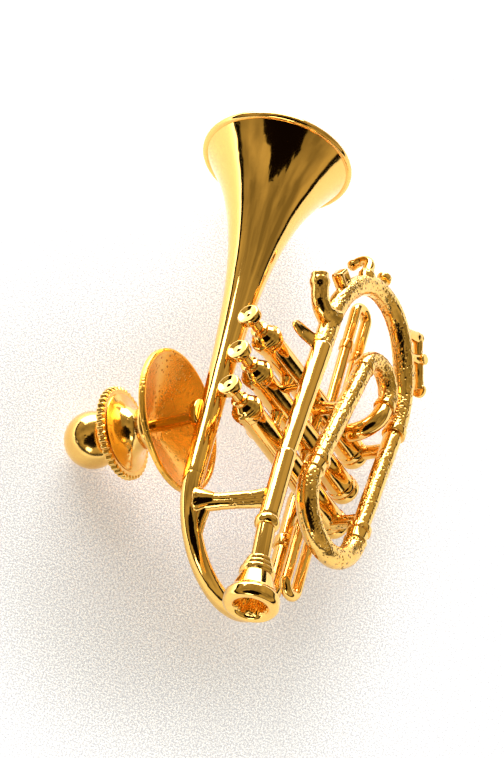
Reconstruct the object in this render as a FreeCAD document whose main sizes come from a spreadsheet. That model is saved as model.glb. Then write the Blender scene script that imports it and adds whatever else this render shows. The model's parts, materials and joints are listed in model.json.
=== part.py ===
import FreeCAD, Part
import math
import os

import Sketcher

V = FreeCAD.Vector
doc = FreeCAD.newDocument("cornet_pin")

# ---------------------------------------------------------------- driving dimensions, millimetres and degrees
# The instrument frame has +X to the player's right, +Y towards the bell and +Z towards the finger buttons.
# Its origin is the receiver ring on the axis of the leadpipe.
DIMENSIONS = {
    "rest_roll": (48.001, "lean to the left, onto the clutch knob"),
    "rest_pitch": (9.498, "nose down"),
    # bell
    "bell_x": (-6.5, "plane of the bell and its crook"),
    "bell_z": (2.1, "bell axis height at the crook"),
    "bell_tail_y": (4.3, "where the bell meets the crook"),
    "bell_length": (31.6, "crook joint to rim"),
    "bell_rise": (1.3, "upward tilt of the bell, degrees"),
    "bell_rim_radius": (5.78, "outside of the flare at the rim"),
    "bell_throat_radius": (0.8, "outside of the bell tail"),
    "bell_flare_length": (6.57, "decay length of the flare"),
    "bell_wall": (0.38, "wall of the flare"),
    "bell_hollow_depth": (16.0, "depth of the blind bore"),
    "rim_bead": (0.3, "section radius of the rolled rim"),
    "crook_radius": (6.6, "centreline radius of the bell crook"),
    "crook_tube": (0.78, "tube radius of the bell crook"),
    "ferrule_wall": (0.16, "how far a ferrule stands proud of its tube"),
    "ferrule_length": (0.9, "length of a ferrule"),
    # leadpipe loop, in the plane x = 0
    "mouthpiece_drop": (6.0, "downward tilt of the mouthpiece, degrees"),
    "mouthpiece_length": (7.9, "receiver ring to mouthpiece rim"),
    "mouthpiece_rim": (2.2, "outside radius of the mouthpiece rim"),
    "cup_mouth": (1.32, "radius of the cup at the rim"),
    "cup_depth": (2.2, "depth of the cup"),
    "mouthpiece_shank": (3.4, "receiver ring to the first band of the mouthpiece"),
    "shank_radius": (0.74, "radius of the mouthpiece shank"),
    "receiver_ring": (1.0, "radius of the receiver ring"),
    "receiver_tube": (0.8, "radius of the receiver sleeve"),
    "receiver_length": (7.0, "length of the receiver sleeve"),
    "lead_tube": (0.71, "radius of the leadpipe"),
    "lead_length": (11.4, "straight length of the leadpipe"),
    "lead_drop": (3.6, "downward tilt of the leadpipe, degrees"),
    "bow_tube": (0.84, "tube radius of the front bow"),
    "bow_start": (2.8, "straight run before the front bow"),
    "bow_shoulder": (9.0, "first radius of the front bow"),
    "bow_nose": (4.45, "nose radius of the front bow"),
    "bow_heel": (9.8, "last radius of the front bow"),
    "low_tube": (0.74, "radius of the lower tube"),
    "low_length": (10.2, "length of the lower tube"),
    "low_rise": (5.5, "rise of the lower tube towards the back, degrees"),
    "tuning_tube": (0.9, "tube radius of the tuning slide bow"),
    "tuning_radius": (3.75, "centreline radius of the tuning slide bow"),
    "mid_tube": (0.78, "radius of the mid tube"),
    "mid_length": (11.2, "length of the mid tube"),
    "mid_drop": (12.0, "downward tilt of the mid tube, degrees"),
    "small_radius": (1.95, "centreline radius of the small bow"),
    "elbow_radius": (1.75, "radius of the elbows into the valves"),
    # valves
    "valve_x": (-3.2, "plane of the valves"),
    "valve_y": (10.3, "axis of the rear valve"),
    "valve_pitch": (3.55, "valve spacing"),
    "casing_radius": (1.06, "radius of a casing"),
    "casing_top": (1.9, "top of the casings"),
    "casing_bottom": (-11.9, "bottom of the casings"),
    "cap_radius": (1.27, "radius of the top and bottom caps"),
    "button_radius": (0.95, "radius of a finger button"),
    "button_top": (5.3, "height of the button rims"),
    "stem_radius": (0.42, "radius of a valve stem"),
    # valve slides, in the plane of the valves
    "slide_tube": (0.46, "tube radius of the valve slides"),
    "slide_low": (-9.75, "lower leg of the first slide"),
    "slide_gap": (1.65, "leg spacing of the slides"),
    "first_slide_reach": (7.6, "leg length of the first slide"),
    "third_slide_reach": (9.8, "leg length of the third slide"),
    "second_slide_reach": (1.9, "leg length of the second slide"),
    # fastening
    "post_y": (10.45, "axis of the pin post"),
    "post_lean_back": (3.5, "lean of the post towards the mouthpiece, degrees"),
    "post_lean_up": (0.8, "lean of the post towards the finger buttons, degrees"),
    "post_radius": (0.5, "radius of the pin post"),
    "pad_radius": (1.3, "radius of the solder pad"),
    "pad_face": (1.35, "outer face of the pad, from the bell axis"),
    "post_tip": (9.9, "tip of the post, from the bell axis"),
    "dish_plane": (2.6, "rim of the clutch dish, from the bell axis"),
    "dish_radius": (5.75, "radius of the clutch dish"),
    "dish_depth": (2.3, "depth of the dish"),
    "dish_wall": (0.32, "wall of the dish"),
    "housing_radius": (1.95, "radius of the housing in its seat on the ring"),
    "housing_waist": (1.66, "radius of the housing at its waist"),
    "housing_flare": (3.2, "radius of the housing against the ring"),
    "housing_wall": (0.3, "wall of the clutch housing"),
    "ring_radius": (3.7, "tip radius of the knurled ring"),
    "ring_front": (7.45, "front face of the knurled ring"),
    "ring_back": (8.15, "back face of the knurled ring"),
    "knurl_teeth": (44, "teeth of the knurled ring"),
    "knurl_depth": (0.2, "depth of the knurl"),
    "knob_radius": (2.27, "radius of the ball knob"),
    "knob_centre": (10.45, "centre of the ball knob"),
    "plunger_radius": (0.92, "outside of the plunger tube"),
    "plunger_bore": (0.62, "bore of the plunger tube"),
    "grip_ball": (0.36, "radius of a grip ball"),
}
sheet = doc.addObject("Spreadsheet::Sheet", "dims")
for line, (alias, (amount, note)) in enumerate(DIMENSIONS.items(), start=1):
    sheet.set("A%d" % line, note)
    sheet.set("B%d" % line, repr(amount))
    sheet.setAlias("B%d" % line, alias)
doc.recompute()


def size(alias):
    """Read one driving dimension from the sheet."""
    return float(getattr(sheet, alias))


# ---------------------------------------------------------------- helpers
leaves = []      # every placed solid, with its placement in the instrument frame
subparts = []    # the objects that are written out, one per node


def remember(obj, placement):
    """Give an object its place in the instrument frame and keep it for the final turn into rest."""
    obj.Placement = placement
    leaves.append((obj, placement))
    return obj


def subpart(obj, label):
    """Name an object as one sub-part of the pin."""
    obj.Label = label
    subparts.append(obj)
    return obj


def heading(point, along, up=V(0, 0, 1)):
    """Placement at a point whose local X runs along one vector, with local Z near another."""
    x_axis = V(along).normalize()
    y_axis = V(up).cross(x_axis)
    if y_axis.Length < 1e-6:
        y_axis = V(0, 1, 0).cross(x_axis)
    y_axis.normalize()
    z_axis = x_axis.cross(y_axis)
    turn = FreeCAD.Rotation(x_axis, y_axis, z_axis, "XYZ")
    return FreeCAD.Placement(V(point), turn)


def base_plane(body, role):
    """One of the body's own origin planes."""
    return [feature for feature in body.Origin.OriginFeatures if feature.Role == role][0]


def sketch_on(body, role, name):
    """A new sketch on one of the body's origin planes."""
    sketch = body.newObject("Sketcher::SketchObject", name)
    sketch.AttachmentSupport = (base_plane(body, role), [""])
    sketch.MapMode = "FlatFace"
    return sketch


def bind(sketch, constraint, formula):
    """Add a constraint and drive it from the sheet."""
    index = sketch.addConstraint(constraint)
    sketch.setExpression("Constraints[%d]" % index, formula)


def outline(sketch, corners):
    """A closed polygon whose corners are pairs of formulas over the sheet."""
    points = [V(sketch.evalExpression(u), sketch.evalExpression(v), 0) for u, v in corners]
    count = len(points)
    for i in range(count):
        sketch.addGeometry(Part.LineSegment(points[i], points[(i + 1) % count]), False)
    for i in range(count):
        sketch.addConstraint(Sketcher.Constraint("Coincident", i, 2, (i + 1) % count, 1))
    for i, (u, v) in enumerate(corners):
        if u == "0":
            sketch.addConstraint(Sketcher.Constraint("PointOnObject", i, 1, -2))
        else:
            bind(sketch, Sketcher.Constraint("DistanceX", -1, 1, i, 1, points[i].x), u)
        if v == "0":
            sketch.addConstraint(Sketcher.Constraint("PointOnObject", i, 1, -1))
        else:
            bind(sketch, Sketcher.Constraint("DistanceY", -1, 1, i, 1, points[i].y), v)


def soften(body, feature, radius, smallest=0.0):
    """Fillet the full-circle edges of a turned feature that are wider than a given radius."""
    names = []
    for number, edge in enumerate(feature.Shape.Edges, start=1):
        curve = edge.Curve
        if isinstance(curve, Part.Circle) and edge.isClosed() and curve.Radius > smallest:
            names.append("Edge%d" % number)
    rounding = body.newObject("PartDesign::Fillet", "Rounding")
    rounding.Base = (feature, names)
    rounding.Radius = radius
    body.Tip = rounding
    doc.recompute()
    return rounding


def turned(name, corners, placement, rounding=0.0, smallest=0.0):
    """A body of revolution about its local X axis: corners are (along, radius) formulas."""
    body = doc.addObject("PartDesign::Body", name)
    profile = sketch_on(body, "XY_Plane", name + "_profile")
    outline(profile, corners)
    turn = body.newObject("PartDesign::Revolution", name + "_turn")
    turn.Profile = profile
    turn.ReferenceAxis = (profile, ["H_Axis"])
    turn.Angle = 360.0
    doc.recompute()
    if rounding > 0.0:
        soften(body, turn, rounding, smallest)
    return remember(body, placement)


def ring(name, radius, length, point, along, rounding=0.12):
    """A solid collar centred on a point."""
    half = "(%s) / 2" % length
    corners = [("-" + half, "0"), (half, "0"), (half, radius), ("-" + half, radius)]
    return turned(name, corners, heading(point, along), rounding)


def path_end(placement, runs):
    """Where a run of lines and arcs ends, as a placement that heads onwards."""
    place = FreeCAD.Placement(placement)
    for run in runs:
        if run[0] == "line":
            step = FreeCAD.Placement(V(run[2], 0, 0), FreeCAD.Rotation())
        else:
            turn = FreeCAD.Rotation(V(0, 0, 1), run[4])
            side = math.copysign(run[2], run[4])
            step = FreeCAD.Placement(V(0, side, 0) - turn.multVec(V(0, side, 0)), turn)
        place = place.multiply(step)
    return place


def tube(name, radius, runs, placement):
    """A round tube swept along tangent runs in its local XY plane.

    A run is ("line", length formula) or ("arc", radius formula, angle formula, +1 left or -1 right).
    The tube starts at the local origin, heading along local X. It returns the body and its end placement.
    """
    body = doc.addObject("PartDesign::Body", name)
    spine = sketch_on(body, "XY_Plane", name + "_spine")
    here = FreeCAD.Placement()
    joint = None
    length = 0.0
    steps = []
    for index, run in enumerate(runs):
        start = here.Base
        onward = here.Rotation.multVec(V(1, 0, 0))
        if run[0] == "line":
            reach = spine.evalExpression(run[1])
            spine.addGeometry(Part.LineSegment(start, start + onward * reach), False)
            bind(spine, Sketcher.Constraint("Distance", index, reach), run[1])
            first, last = 1, 2
            length += reach
            steps.append(("line", run[1], reach))
        else:
            bend = spine.evalExpression(run[1])
            sweep = spine.evalExpression(run[2]) * run[3]
            left = here.Rotation.multVec(V(0, 1, 0))
            centre = start + left * math.copysign(bend, sweep)
            begin = math.atan2(start.y - centre.y, start.x - centre.x)
            finish = begin + math.radians(sweep)
            circle = Part.Circle(centre, V(0, 0, 1), bend)
            spine.addGeometry(Part.ArcOfCircle(circle, min(begin, finish), max(begin, finish)), False)
            bind(spine, Sketcher.Constraint("Radius", index, bend), run[1])
            bind(spine, Sketcher.Constraint("Angle", index, math.radians(abs(sweep))), run[2])
            first, last = (1, 2) if sweep > 0 else (2, 1)
            length += bend * math.radians(abs(sweep))
            steps.append(("arc", run[1], bend, run[2], sweep))
        if joint is None:
            spine.addConstraint(Sketcher.Constraint("Coincident", index, first, -1, 1))
            if run[0] == "line":
                spine.addConstraint(Sketcher.Constraint("Horizontal", index))
            else:
                spine.addConstraint(Sketcher.Constraint("PointOnObject", index, 3, -2))
        else:
            spine.addConstraint(Sketcher.Constraint("Tangent", index - 1, joint, index, first))
        joint = last
        here = path_end(here, steps[-1:])
    section = sketch_on(body, "YZ_Plane", name + "_section")
    section.addGeometry(Part.Circle(V(0, 0, 0), V(0, 0, 1), section.evalExpression(radius)), False)
    section.addConstraint(Sketcher.Constraint("Coincident", 0, 3, -1, 1))
    bind(section, Sketcher.Constraint("Radius", 0, section.evalExpression(radius)), radius)
    sweep_feature = body.newObject("PartDesign::AdditivePipe", name + "_sweep")
    sweep_feature.Profile = section
    sweep_feature.Spine = (spine, ["Edge%d" % (i + 1) for i in range(len(runs))])
    doc.recompute()
    expected = math.pi * section.evalExpression(radius) ** 2 * length
    if abs(body.Shape.Volume - expected) > 0.01 * expected:
        raise RuntimeError("%s: swept volume %.3f, expected %.3f" % (name, body.Shape.Volume, expected))
    remember(body, placement)
    return body, path_end(placement, steps)


def rod(name, radius, start, end):
    """A plain round rod between two points."""
    cylinder = doc.addObject("Part::Cylinder", name)
    cylinder.setExpression("Radius", radius)
    cylinder.Height = (V(end) - V(start)).Length
    turn = FreeCAD.Rotation(V(0, 0, 1), V(end) - V(start))
    return remember(cylinder, FreeCAD.Placement(V(start), turn))


def block(name, length, width, height, placement):
    """A box centred on its placement, with sizes as formulas."""
    box = doc.addObject("Part::Box", name)
    box.setExpression("Length", length)
    box.setExpression("Width", width)
    box.setExpression("Height", height)
    doc.recompute()
    half = V(box.Length.Value / 2, box.Width.Value / 2, box.Height.Value / 2)
    return remember(box, placement.multiply(FreeCAD.Placement(half * -1, FreeCAD.Rotation())))


def joined(name, pieces):
    """Several pieces as one shape."""
    fuse = doc.addObject("Part::MultiFuse", name)
    fuse.Shapes = pieces
    return fuse


def fitted(name, piece, neighbours):
    """A soldered piece with its ends cut to the shape of the neighbours that it meets."""
    tool = neighbours[0]
    if len(neighbours) > 1:
        tool = joined(name + "_neighbours", neighbours)
    cut = doc.addObject("Part::Cut", name)
    cut.Base = piece
    cut.Tool = tool
    return cut


def shape_of(name, shape, placement):
    """A formula-made shape as a feature of the document."""
    feature = doc.addObject("Part::Feature", name)
    feature.Shape = shape
    return remember(feature, placement)


# ---------------------------------------------------------------- bell and crook
def make_bell():
    """The flare falls off exponentially from the rim, and its blind bore follows it at the wall's thickness."""
    rim = size("bell_rim_radius")
    throat = size("bell_throat_radius")
    decay = size("bell_flare_length")
    length = size("bell_length")
    wall = size("bell_wall")
    depth = size("bell_hollow_depth")

    def flare(behind_rim):
        return throat + (rim - throat) * math.exp(-behind_rim / decay)

    stations = 9
    outer = [V(length - length * (i / (stations - 1)) ** 1.5, 0, 0) for i in range(stations)]
    outer = [V(p.x, flare(length - p.x), 0) for p in outer]
    inner = [V(length - depth * (i / (stations - 1)), 0, 0) for i in range(stations)]
    inner = [V(p.x, flare(length - p.x) - wall, 0) for p in inner]
    outside = Part.BSplineCurve()
    outside.interpolate(outer)
    inside = Part.BSplineCurve()
    inside.interpolate(inner)
    floor = V(inner[-1].x - inner[-1].y, 0, 0)
    middle = V(inner[-1].x - inner[-1].y * math.sin(math.radians(45)), inner[-1].y * math.cos(math.radians(45)), 0)
    edges = [
        outside.toShape(),
        Part.LineSegment(outer[-1], V(0, 0, 0)).toShape(),
        Part.LineSegment(V(0, 0, 0), floor).toShape(),
        Part.Arc(floor, middle, inner[-1]).toShape(),
        inside.toShape(),
        Part.LineSegment(inner[0], outer[0]).toShape(),
    ]
    face = Part.Face(Part.Wire(Part.__sortEdges__(edges)))
    solid = face.revolve(V(0, 0, 0), V(1, 0, 0), 360)
    return shape_of("bell_shape", solid, bell_place)


bell_axis = V(0, math.cos(math.radians(size("bell_rise"))), math.sin(math.radians(size("bell_rise"))))
bell_tail = V(size("bell_x"), size("bell_tail_y"), size("bell_z"))
bell_place = heading(bell_tail, bell_axis)
bell_shape = make_bell()
rim_centre = bell_tail + bell_axis * size("bell_length")
bead = doc.addObject("Part::Torus", "rim_torus")
bead.setExpression("Radius1", "dims.bell_rim_radius - dims.rim_bead * 0.4")
bead.setExpression("Radius2", "dims.rim_bead")
doc.recompute()
remember(bead, FreeCAD.Placement(rim_centre, FreeCAD.Rotation(V(0, 0, 1), bell_axis)))
subpart(bead, "bell_rim_bead")
subpart(fitted("bell_cut", bell_shape, [bead]), "bell")



def onward(place):
    """The direction in which a placement heads."""
    return place.Rotation.multVec(V(1, 0, 0))


def ahead(place, distance):
    """A placement moved along its own heading."""
    return place.multiply(FreeCAD.Placement(V(distance, 0, 0), FreeCAD.Rotation()))


def turned_plane(place, up):
    """The same point and heading, with local Z near another vector."""
    return heading(place.Base, onward(place), up)


def collar(name, inner, outer, length, point, along):
    """A ring that sits round a tube: inner, outer and length are formulas."""
    half = "(%s) / 2" % length
    corners = [("-" + half, inner), (half, inner), (half, outer), ("-" + half, outer)]
    return turned(name, corners, heading(point, along))


SIDEWAYS = V(1, 0, 0)
UPWARDS = V(0, 0, 1)

crook_start = heading(bell_tail, bell_axis * -1, SIDEWAYS)
crook, crook_end = tube("crook_body", "dims.crook_tube", [
    ("arc", "dims.crook_radius", "180", 1), ("line", "3")], crook_start)
subpart(crook, "bell_crook")
ferrule_length = size("ferrule_length")
crook_ring = ring("crook_ferrule_body", "dims.crook_tube + dims.ferrule_wall", "dims.ferrule_length",
                  ahead(crook_end, ferrule_length / 2).Base, onward(crook_end))
subpart(crook_ring, "crook_ferrule")

# ---------------------------------------------------------------- mouthpiece and receiver
drop = math.radians(size("mouthpiece_drop"))
mouth_axis = V(0, -math.cos(drop), -math.sin(drop))
receiver = turned("receiver_ring_body", [
    ("-0.45", "0"), ("0.45", "0"), ("0.45", "dims.receiver_ring * 0.84"), ("0.2", "dims.receiver_ring"),
    ("-0.2", "dims.receiver_ring"), ("-0.45", "dims.receiver_ring * 0.84")],
    heading(V(0, 0, 0), V(0, 1, 0)), 0.12)
subpart(receiver, "receiver_ring")
shank = rod("shank_rod", "dims.shank_radius", V(0, 0, 0), mouth_axis * size("mouthpiece_shank"))
subpart(fitted("shank_cut", shank, [receiver]), "mouthpiece_shank")
mouthpiece = turned("mouthpiece_body", [
    ("dims.mouthpiece_shank", "0"),
    ("dims.mouthpiece_shank", "dims.shank_radius + 0.28"),
    ("dims.mouthpiece_shank + 0.35", "dims.shank_radius + 0.28"),
    ("dims.mouthpiece_shank + 0.45", "dims.shank_radius + 0.2"),
    ("dims.mouthpiece_shank + 0.5", "dims.shank_radius + 0.46"),
    ("dims.mouthpiece_shank + 0.85", "dims.shank_radius + 0.46"),
    ("dims.mouthpiece_shank + 0.95", "dims.shank_radius + 0.36"),
    ("dims.mouthpiece_shank + 1", "dims.shank_radius + 0.66"),
    ("dims.mouthpiece_shank + 1.4", "dims.shank_radius + 0.66"),
    ("dims.mouthpiece_shank + 1.5", "dims.shank_radius + 0.56"),
    ("dims.mouthpiece_length - 1.45", "dims.mouthpiece_rim * 0.84"),
    ("dims.mouthpiece_length - 1", "dims.mouthpiece_rim"),
    ("dims.mouthpiece_length - 0.3", "dims.mouthpiece_rim"),
    ("dims.mouthpiece_length", "dims.mouthpiece_rim * 0.88"),
    ("dims.mouthpiece_length", "dims.cup_mouth + 0.2"),
    ("dims.mouthpiece_length - 0.2", "dims.cup_mouth"),
    ("dims.mouthpiece_length - dims.cup_depth * 0.45", "dims.cup_mouth * 0.93"),
    ("dims.mouthpiece_length - dims.cup_depth * 0.8", "dims.cup_mouth * 0.66"),
    ("dims.mouthpiece_length - dims.cup_depth * 0.96", "dims.cup_mouth * 0.34"),
    ("dims.mouthpiece_length - dims.cup_depth", "0")],
    heading(V(0, 0, 0), mouth_axis), 0.05, size("shank_radius") + 0.4)
subpart(mouthpiece, "mouthpiece")
sleeve, sleeve_end = tube("sleeve_body", "dims.receiver_tube", [("line", "dims.receiver_length - 0.45")],
                          heading(V(0, 0.45, 0), V(0, 1, 0), SIDEWAYS))
subpart(sleeve, "receiver_sleeve")

# ---------------------------------------------------------------- leadpipe, front bow and tuning slide
lead_drop = math.radians(size("lead_drop"))
lead_axis = V(0, math.cos(lead_drop), -math.sin(lead_drop))
lead_start = heading(sleeve_end.Base, lead_axis, SIDEWAYS)
lead_pipe = turned("leadpipe_body", [
    ("-0.3", "0"), ("dims.lead_length", "0"), ("dims.lead_length", "dims.bow_tube"), ("-0.3", "dims.lead_tube")],
    lead_start)
lead = subpart(fitted("leadpipe_cut", lead_pipe, [sleeve]), "leadpipe")
bow, bow_end = tube("front_bow_body", "dims.bow_tube", [
    ("line", "dims.bow_start"), ("arc", "dims.bow_shoulder", "41.4", -1), ("arc", "dims.bow_nose", "95", -1),
    ("arc", "dims.bow_heel", "43.6 - dims.lead_drop + dims.low_rise", -1)],
    ahead(lead_start, size("lead_length")))
subpart(bow, "front_bow")
bow_ring = ring("bow_ring_body", "dims.bow_tube + 0.12", "0.7", ahead(bow_end, 0.35).Base, onward(bow_end))
subpart(bow_ring, "bow_ring")
low, low_end = tube("lower_tube_body", "dims.low_tube", [("line", "dims.low_length")], ahead(bow_end, 0.7))
subpart(low, "lower_tube")
FERRULE = [("0", "0"), ("1.7", "0"), ("1.7", "dims.tuning_tube"), ("1.45", "dims.tuning_tube + 0.06"),
           ("1.45", "dims.tuning_tube - 0.05"), ("0.5", "dims.tuning_tube - 0.05"),
           ("0.5", "dims.tuning_tube + 0.08"), ("0", "dims.tuning_tube + 0.08")]
low_ferrule = turned("low_ferrule_body", FERRULE, heading(low_end.Base, onward(low_end)), 0.04)
tuning, tuning_end = tube("tuning_bow_body", "dims.tuning_tube", [
    ("arc", "dims.tuning_radius", "180 - dims.low_rise + dims.mid_drop", -1)], ahead(low_end, 1.7))
subpart(tuning, "tuning_bow")
mid_start = ahead(tuning_end, 1.7)
high_ferrule = turned("high_ferrule_body", FERRULE, heading(mid_start.Base, onward(tuning_end) * -1), 0.04)
subpart(joined("tuning_ferrule_pair", [low_ferrule, high_ferrule]), "tuning_ferrules")
mid, mid_end = tube("mid_tube_body", "dims.mid_tube", [("line", "dims.mid_length")], mid_start)
subpart(mid, "mid_tube")
mid_ring = ring("mid_ring_body", "dims.mid_tube + 0.1", "0.5", ahead(mid_end, 0.25).Base, onward(mid_end))
small, small_end = tube("small_bow_body", "dims.mid_tube", [
    ("arc", "dims.small_radius", "180", -1)], ahead(mid_end, 0.5))
subpart(small, "small_bow")
small_ring = ring("small_ring_body", "dims.mid_tube + 0.1", "0.5", ahead(small_end, 0.25).Base, onward(small_end))
subpart(joined("small_ring_pair", [mid_ring, small_ring]), "small_bow_rings")

# ---------------------------------------------------------------- valves
casings = []
bottom_caps = []
for number in range(3):
    valve_y = size("valve_y") + size("valve_pitch") * number
    tag = "_%d" % (number + 1)
    foot = V(size("valve_x"), valve_y, size("casing_bottom"))
    head = V(size("valve_x"), valve_y, size("casing_top"))
    tall = "dims.casing_top - dims.casing_bottom"
    casing = turned("casing_body" + tag, [
        ("0", "0"), (tall, "0"), (tall, "dims.casing_radius + 0.1"), (tall + " - 0.4", "dims.casing_radius + 0.1"),
        (tall + " - 0.5", "dims.casing_radius"), ("0.5", "dims.casing_radius"),
        ("0.4", "dims.casing_radius + 0.1"), ("0", "dims.casing_radius + 0.1")], heading(foot, UPWARDS, SIDEWAYS))
    casings.append(subpart(casing, "valve_casing" + tag))
    cap = turned("top_cap_body" + tag, [
        ("0", "0"), ("0", "dims.cap_radius"), ("0.45", "dims.cap_radius"), ("0.55", "dims.cap_radius * 0.86"),
        ("0.85", "dims.cap_radius * 0.78"), ("1.15", "dims.cap_radius * 0.55"), ("1.25", "dims.cap_radius * 0.4"),
        ("1.25", "0")], heading(head, UPWARDS, SIDEWAYS), 0.06, size("cap_radius") * 0.7)
    subpart(cap, "valve_top_cap" + tag)
    bottom = turned("bottom_cap_body" + tag, [
        ("0", "0"), ("0", "dims.cap_radius * 0.95"), ("0.5", "dims.cap_radius * 0.95"),
        ("0.85", "dims.cap_radius * 0.78"), ("1.05", "dims.cap_radius * 0.45"), ("1.1", "0")],
        heading(foot, UPWARDS * -1, SIDEWAYS), 0.08, size("cap_radius") * 0.5)
    bottom_caps.append(subpart(bottom, "valve_bottom_cap" + tag))
    stem_foot = head + UPWARDS * 1.25
    button_foot = V(size("valve_x"), valve_y, size("button_top") - 0.95)
    stem_height = "dims.button_top - dims.casing_top - 2.2"
    stem = turned("stem_body" + tag, [
        ("0", "0"), ("0", "dims.stem_radius * 1.7"), ("0.3", "dims.stem_radius * 1.7"),
        ("0.38", "dims.stem_radius"), (stem_height, "dims.stem_radius"), (stem_height, "0")],
        heading(stem_foot, UPWARDS, SIDEWAYS))
    subpart(stem, "valve_stem" + tag)
    button = turned("button_body" + tag, [
        ("0", "0"), ("0", "dims.button_radius * 0.6"), ("0.2", "dims.button_radius * 0.9"),
        ("0.35", "dims.button_radius"), ("0.8", "dims.button_radius"), ("0.95", "dims.button_radius * 0.9"),
        ("0.9", "dims.button_radius * 0.74"), ("0.74", "dims.button_radius * 0.4"), ("0.7", "0")],
        heading(button_foot, UPWARDS, SIDEWAYS), 0.05, size("button_radius") * 0.95)
    subpart(button, "finger_button" + tag)
rear_casing, middle_casing, front_casing = casings
valve_x = size("valve_x")
rear_y = size("valve_y")
middle_y = rear_y + size("valve_pitch")
front_y = middle_y + size("valve_pitch")
knuckles = [rod("knuckle_rod_%d" % i, "dims.slide_tube", V(valve_x, rear_y, z), V(valve_x, front_y, z))
            for i, z in enumerate((-1.6, -6.4))]
subpart(fitted("knuckle_cut", joined("knuckle_pair", knuckles), casings), "valve_knuckles")

# ---------------------------------------------------------------- tubes that end in the valves
leg_start = turned_plane(ahead(crook_end, ferrule_length), UPWARDS)
leg_length = middle_y - leg_start.Base.y - size("elbow_radius")
sheet.set("B120", repr(leg_length))
sheet.set("A120", "straight length of the return leg, so that its elbow meets the middle valve")
sheet.setAlias("B120", "leg_length")
small_start = turned_plane(ahead(small_end, 0.5), UPWARDS)
elbow_line = small_start.Base.y - front_y - size("elbow_radius")
sheet.set("B121", repr(elbow_line))
sheet.set("A121", "straight length before the valve elbow")
sheet.setAlias("B121", "elbow_line")
doc.recompute()
leg = tube("return_leg_body", "dims.crook_tube * 0.93", [
    ("line", "dims.leg_length"), ("arc", "dims.elbow_radius", "90", -1), ("line", "1.4")], leg_start)[0]
subpart(fitted("return_leg_cut", leg, [middle_casing]), "bell_return_leg")
elbow = tube("valve_elbow_body", "dims.mid_tube * 0.95", [
    ("line", "dims.elbow_line"), ("arc", "dims.elbow_radius", "90", -1), ("line", "1.2")], small_start)[0]
subpart(fitted("valve_elbow_cut", elbow, [front_casing]), "valve_elbow")


def valve_slide(name, label, casing, point, along, up, reach, side):
    """A U of tube whose two legs start inside a casing and are cut to its wall."""
    slide, _ = tube(name, "dims.slide_tube", [
        ("line", reach), ("arc", "dims.slide_gap / 2", "180", side), ("line", reach)], heading(point, along, up))
    return subpart(fitted(name + "_cut", slide, [casing]), label)


slide_high = size("slide_low") + size("slide_gap")
valve_slide("first_slide_body", "first_slide", rear_casing, V(valve_x, rear_y - 0.6, slide_high),
            V(0, -1, 0), SIDEWAYS, "dims.first_slide_reach + 0.5", 1)
valve_slide("third_slide_body", "third_slide", front_casing, V(valve_x, front_y + 0.6, slide_high + 0.5),
            V(0, 1, 0), SIDEWAYS, "dims.third_slide_reach + 0.5", -1)
valve_slide("second_slide_body", "second_slide", middle_casing, V(valve_x - 0.6, middle_y, -3.2),
            V(-1, 0, 0), V(0, 1, 0), "dims.second_slide_reach + 0.5", -1)
slide_collars = []
for index, (y, z) in enumerate(((rear_y - 3.1, 0), (front_y + 7.4, 0.5))):
    for leg_index in range(2):
        centre = V(valve_x, y, slide_high + z - size("slide_gap") * leg_index)
        slide_collars.append(collar("slide_collar_%d%d" % (index, leg_index), "dims.slide_tube",
                                    "dims.slide_tube + 0.1", "0.8", centre, V(0, 1, 0)))
subpart(joined("slide_collars", slide_collars), "slide_collars")

# ---------------------------------------------------------------- braces and small fittings
brace_y = 2.1
crook_height = size("bell_z") - size("crook_radius") + math.sqrt(
    size("crook_radius") ** 2 - (size("bell_tail_y") - brace_y) ** 2)
brace_left = V(size("bell_x"), brace_y, crook_height)
brace_right = V(0, brace_y + 0.6, 0)
main_bar = rod("brace_bar", "0.52", brace_left, brace_right)
under_bar = rod("brace_under_bar", "0.4", brace_left + V(0, -0.5, -0.25), brace_right + V(0, -0.5, -0.1))
foot_turn = heading(brace_left, brace_right - brace_left)
foot_flare = turned("brace_foot", [("0", "0"), ("0.6", "0"), ("1.9", "0.5"), ("0.6", "1.05"), ("0", "1.2")][::-1],
                    foot_turn)
foot_web = rod("brace_foot_web", "0.42", brace_left + (brace_right - brace_left).normalize() * 1.5,
               V(size("bell_x"), size("bell_tail_y") - size("crook_radius") * 0.72,
                 size("bell_z") - size("crook_radius") * 0.31))
bell_brace = joined("bell_brace_pieces", [main_bar, under_bar, foot_flare, foot_web])
subpart(fitted("bell_brace_cut", bell_brace, [crook, sleeve]), "bell_brace")
stay_y = middle_y + 0.45
stay_z = -math.tan(lead_drop) * (stay_y - size("receiver_length"))
stay = rod("stay_rod", "0.28", V(valve_x, stay_y, stay_z), V(0, stay_y, stay_z))
subpart(fitted("stay_cut", stay, [middle_casing, lead_pipe]), "casing_stay")


def on_axis(place, distance):
    """A point on a tube's axis, measured from its start."""
    return ahead(place, distance).Base


stay_spot = on_axis(mid_start, 6.3)
mid_stay = rod("mid_stay_rod", "0.44", stay_spot, V(valve_x, stay_spot.y + 0.6, stay_spot.z))
subpart(fitted("mid_stay_cut", mid_stay, [mid, front_casing]), "mid_tube_stay")
low_stays = []
for label, distance, casing, cap in (("front", 1.6, front_casing, bottom_caps[2]),
                                     ("rear", 9.3, rear_casing, bottom_caps[0])):
    stay_spot = on_axis(bow_end, 0.7 + distance)
    low_stay = rod(label + "_low_stay_rod", "0.46", stay_spot, V(valve_x, stay_spot.y + 0.3, stay_spot.z))
    low_stays.append(fitted(label + "_low_stay_cut", low_stay, [low, casing, cap]))
subpart(joined("low_stay_pair", low_stays), "lower_tube_stays")

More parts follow.
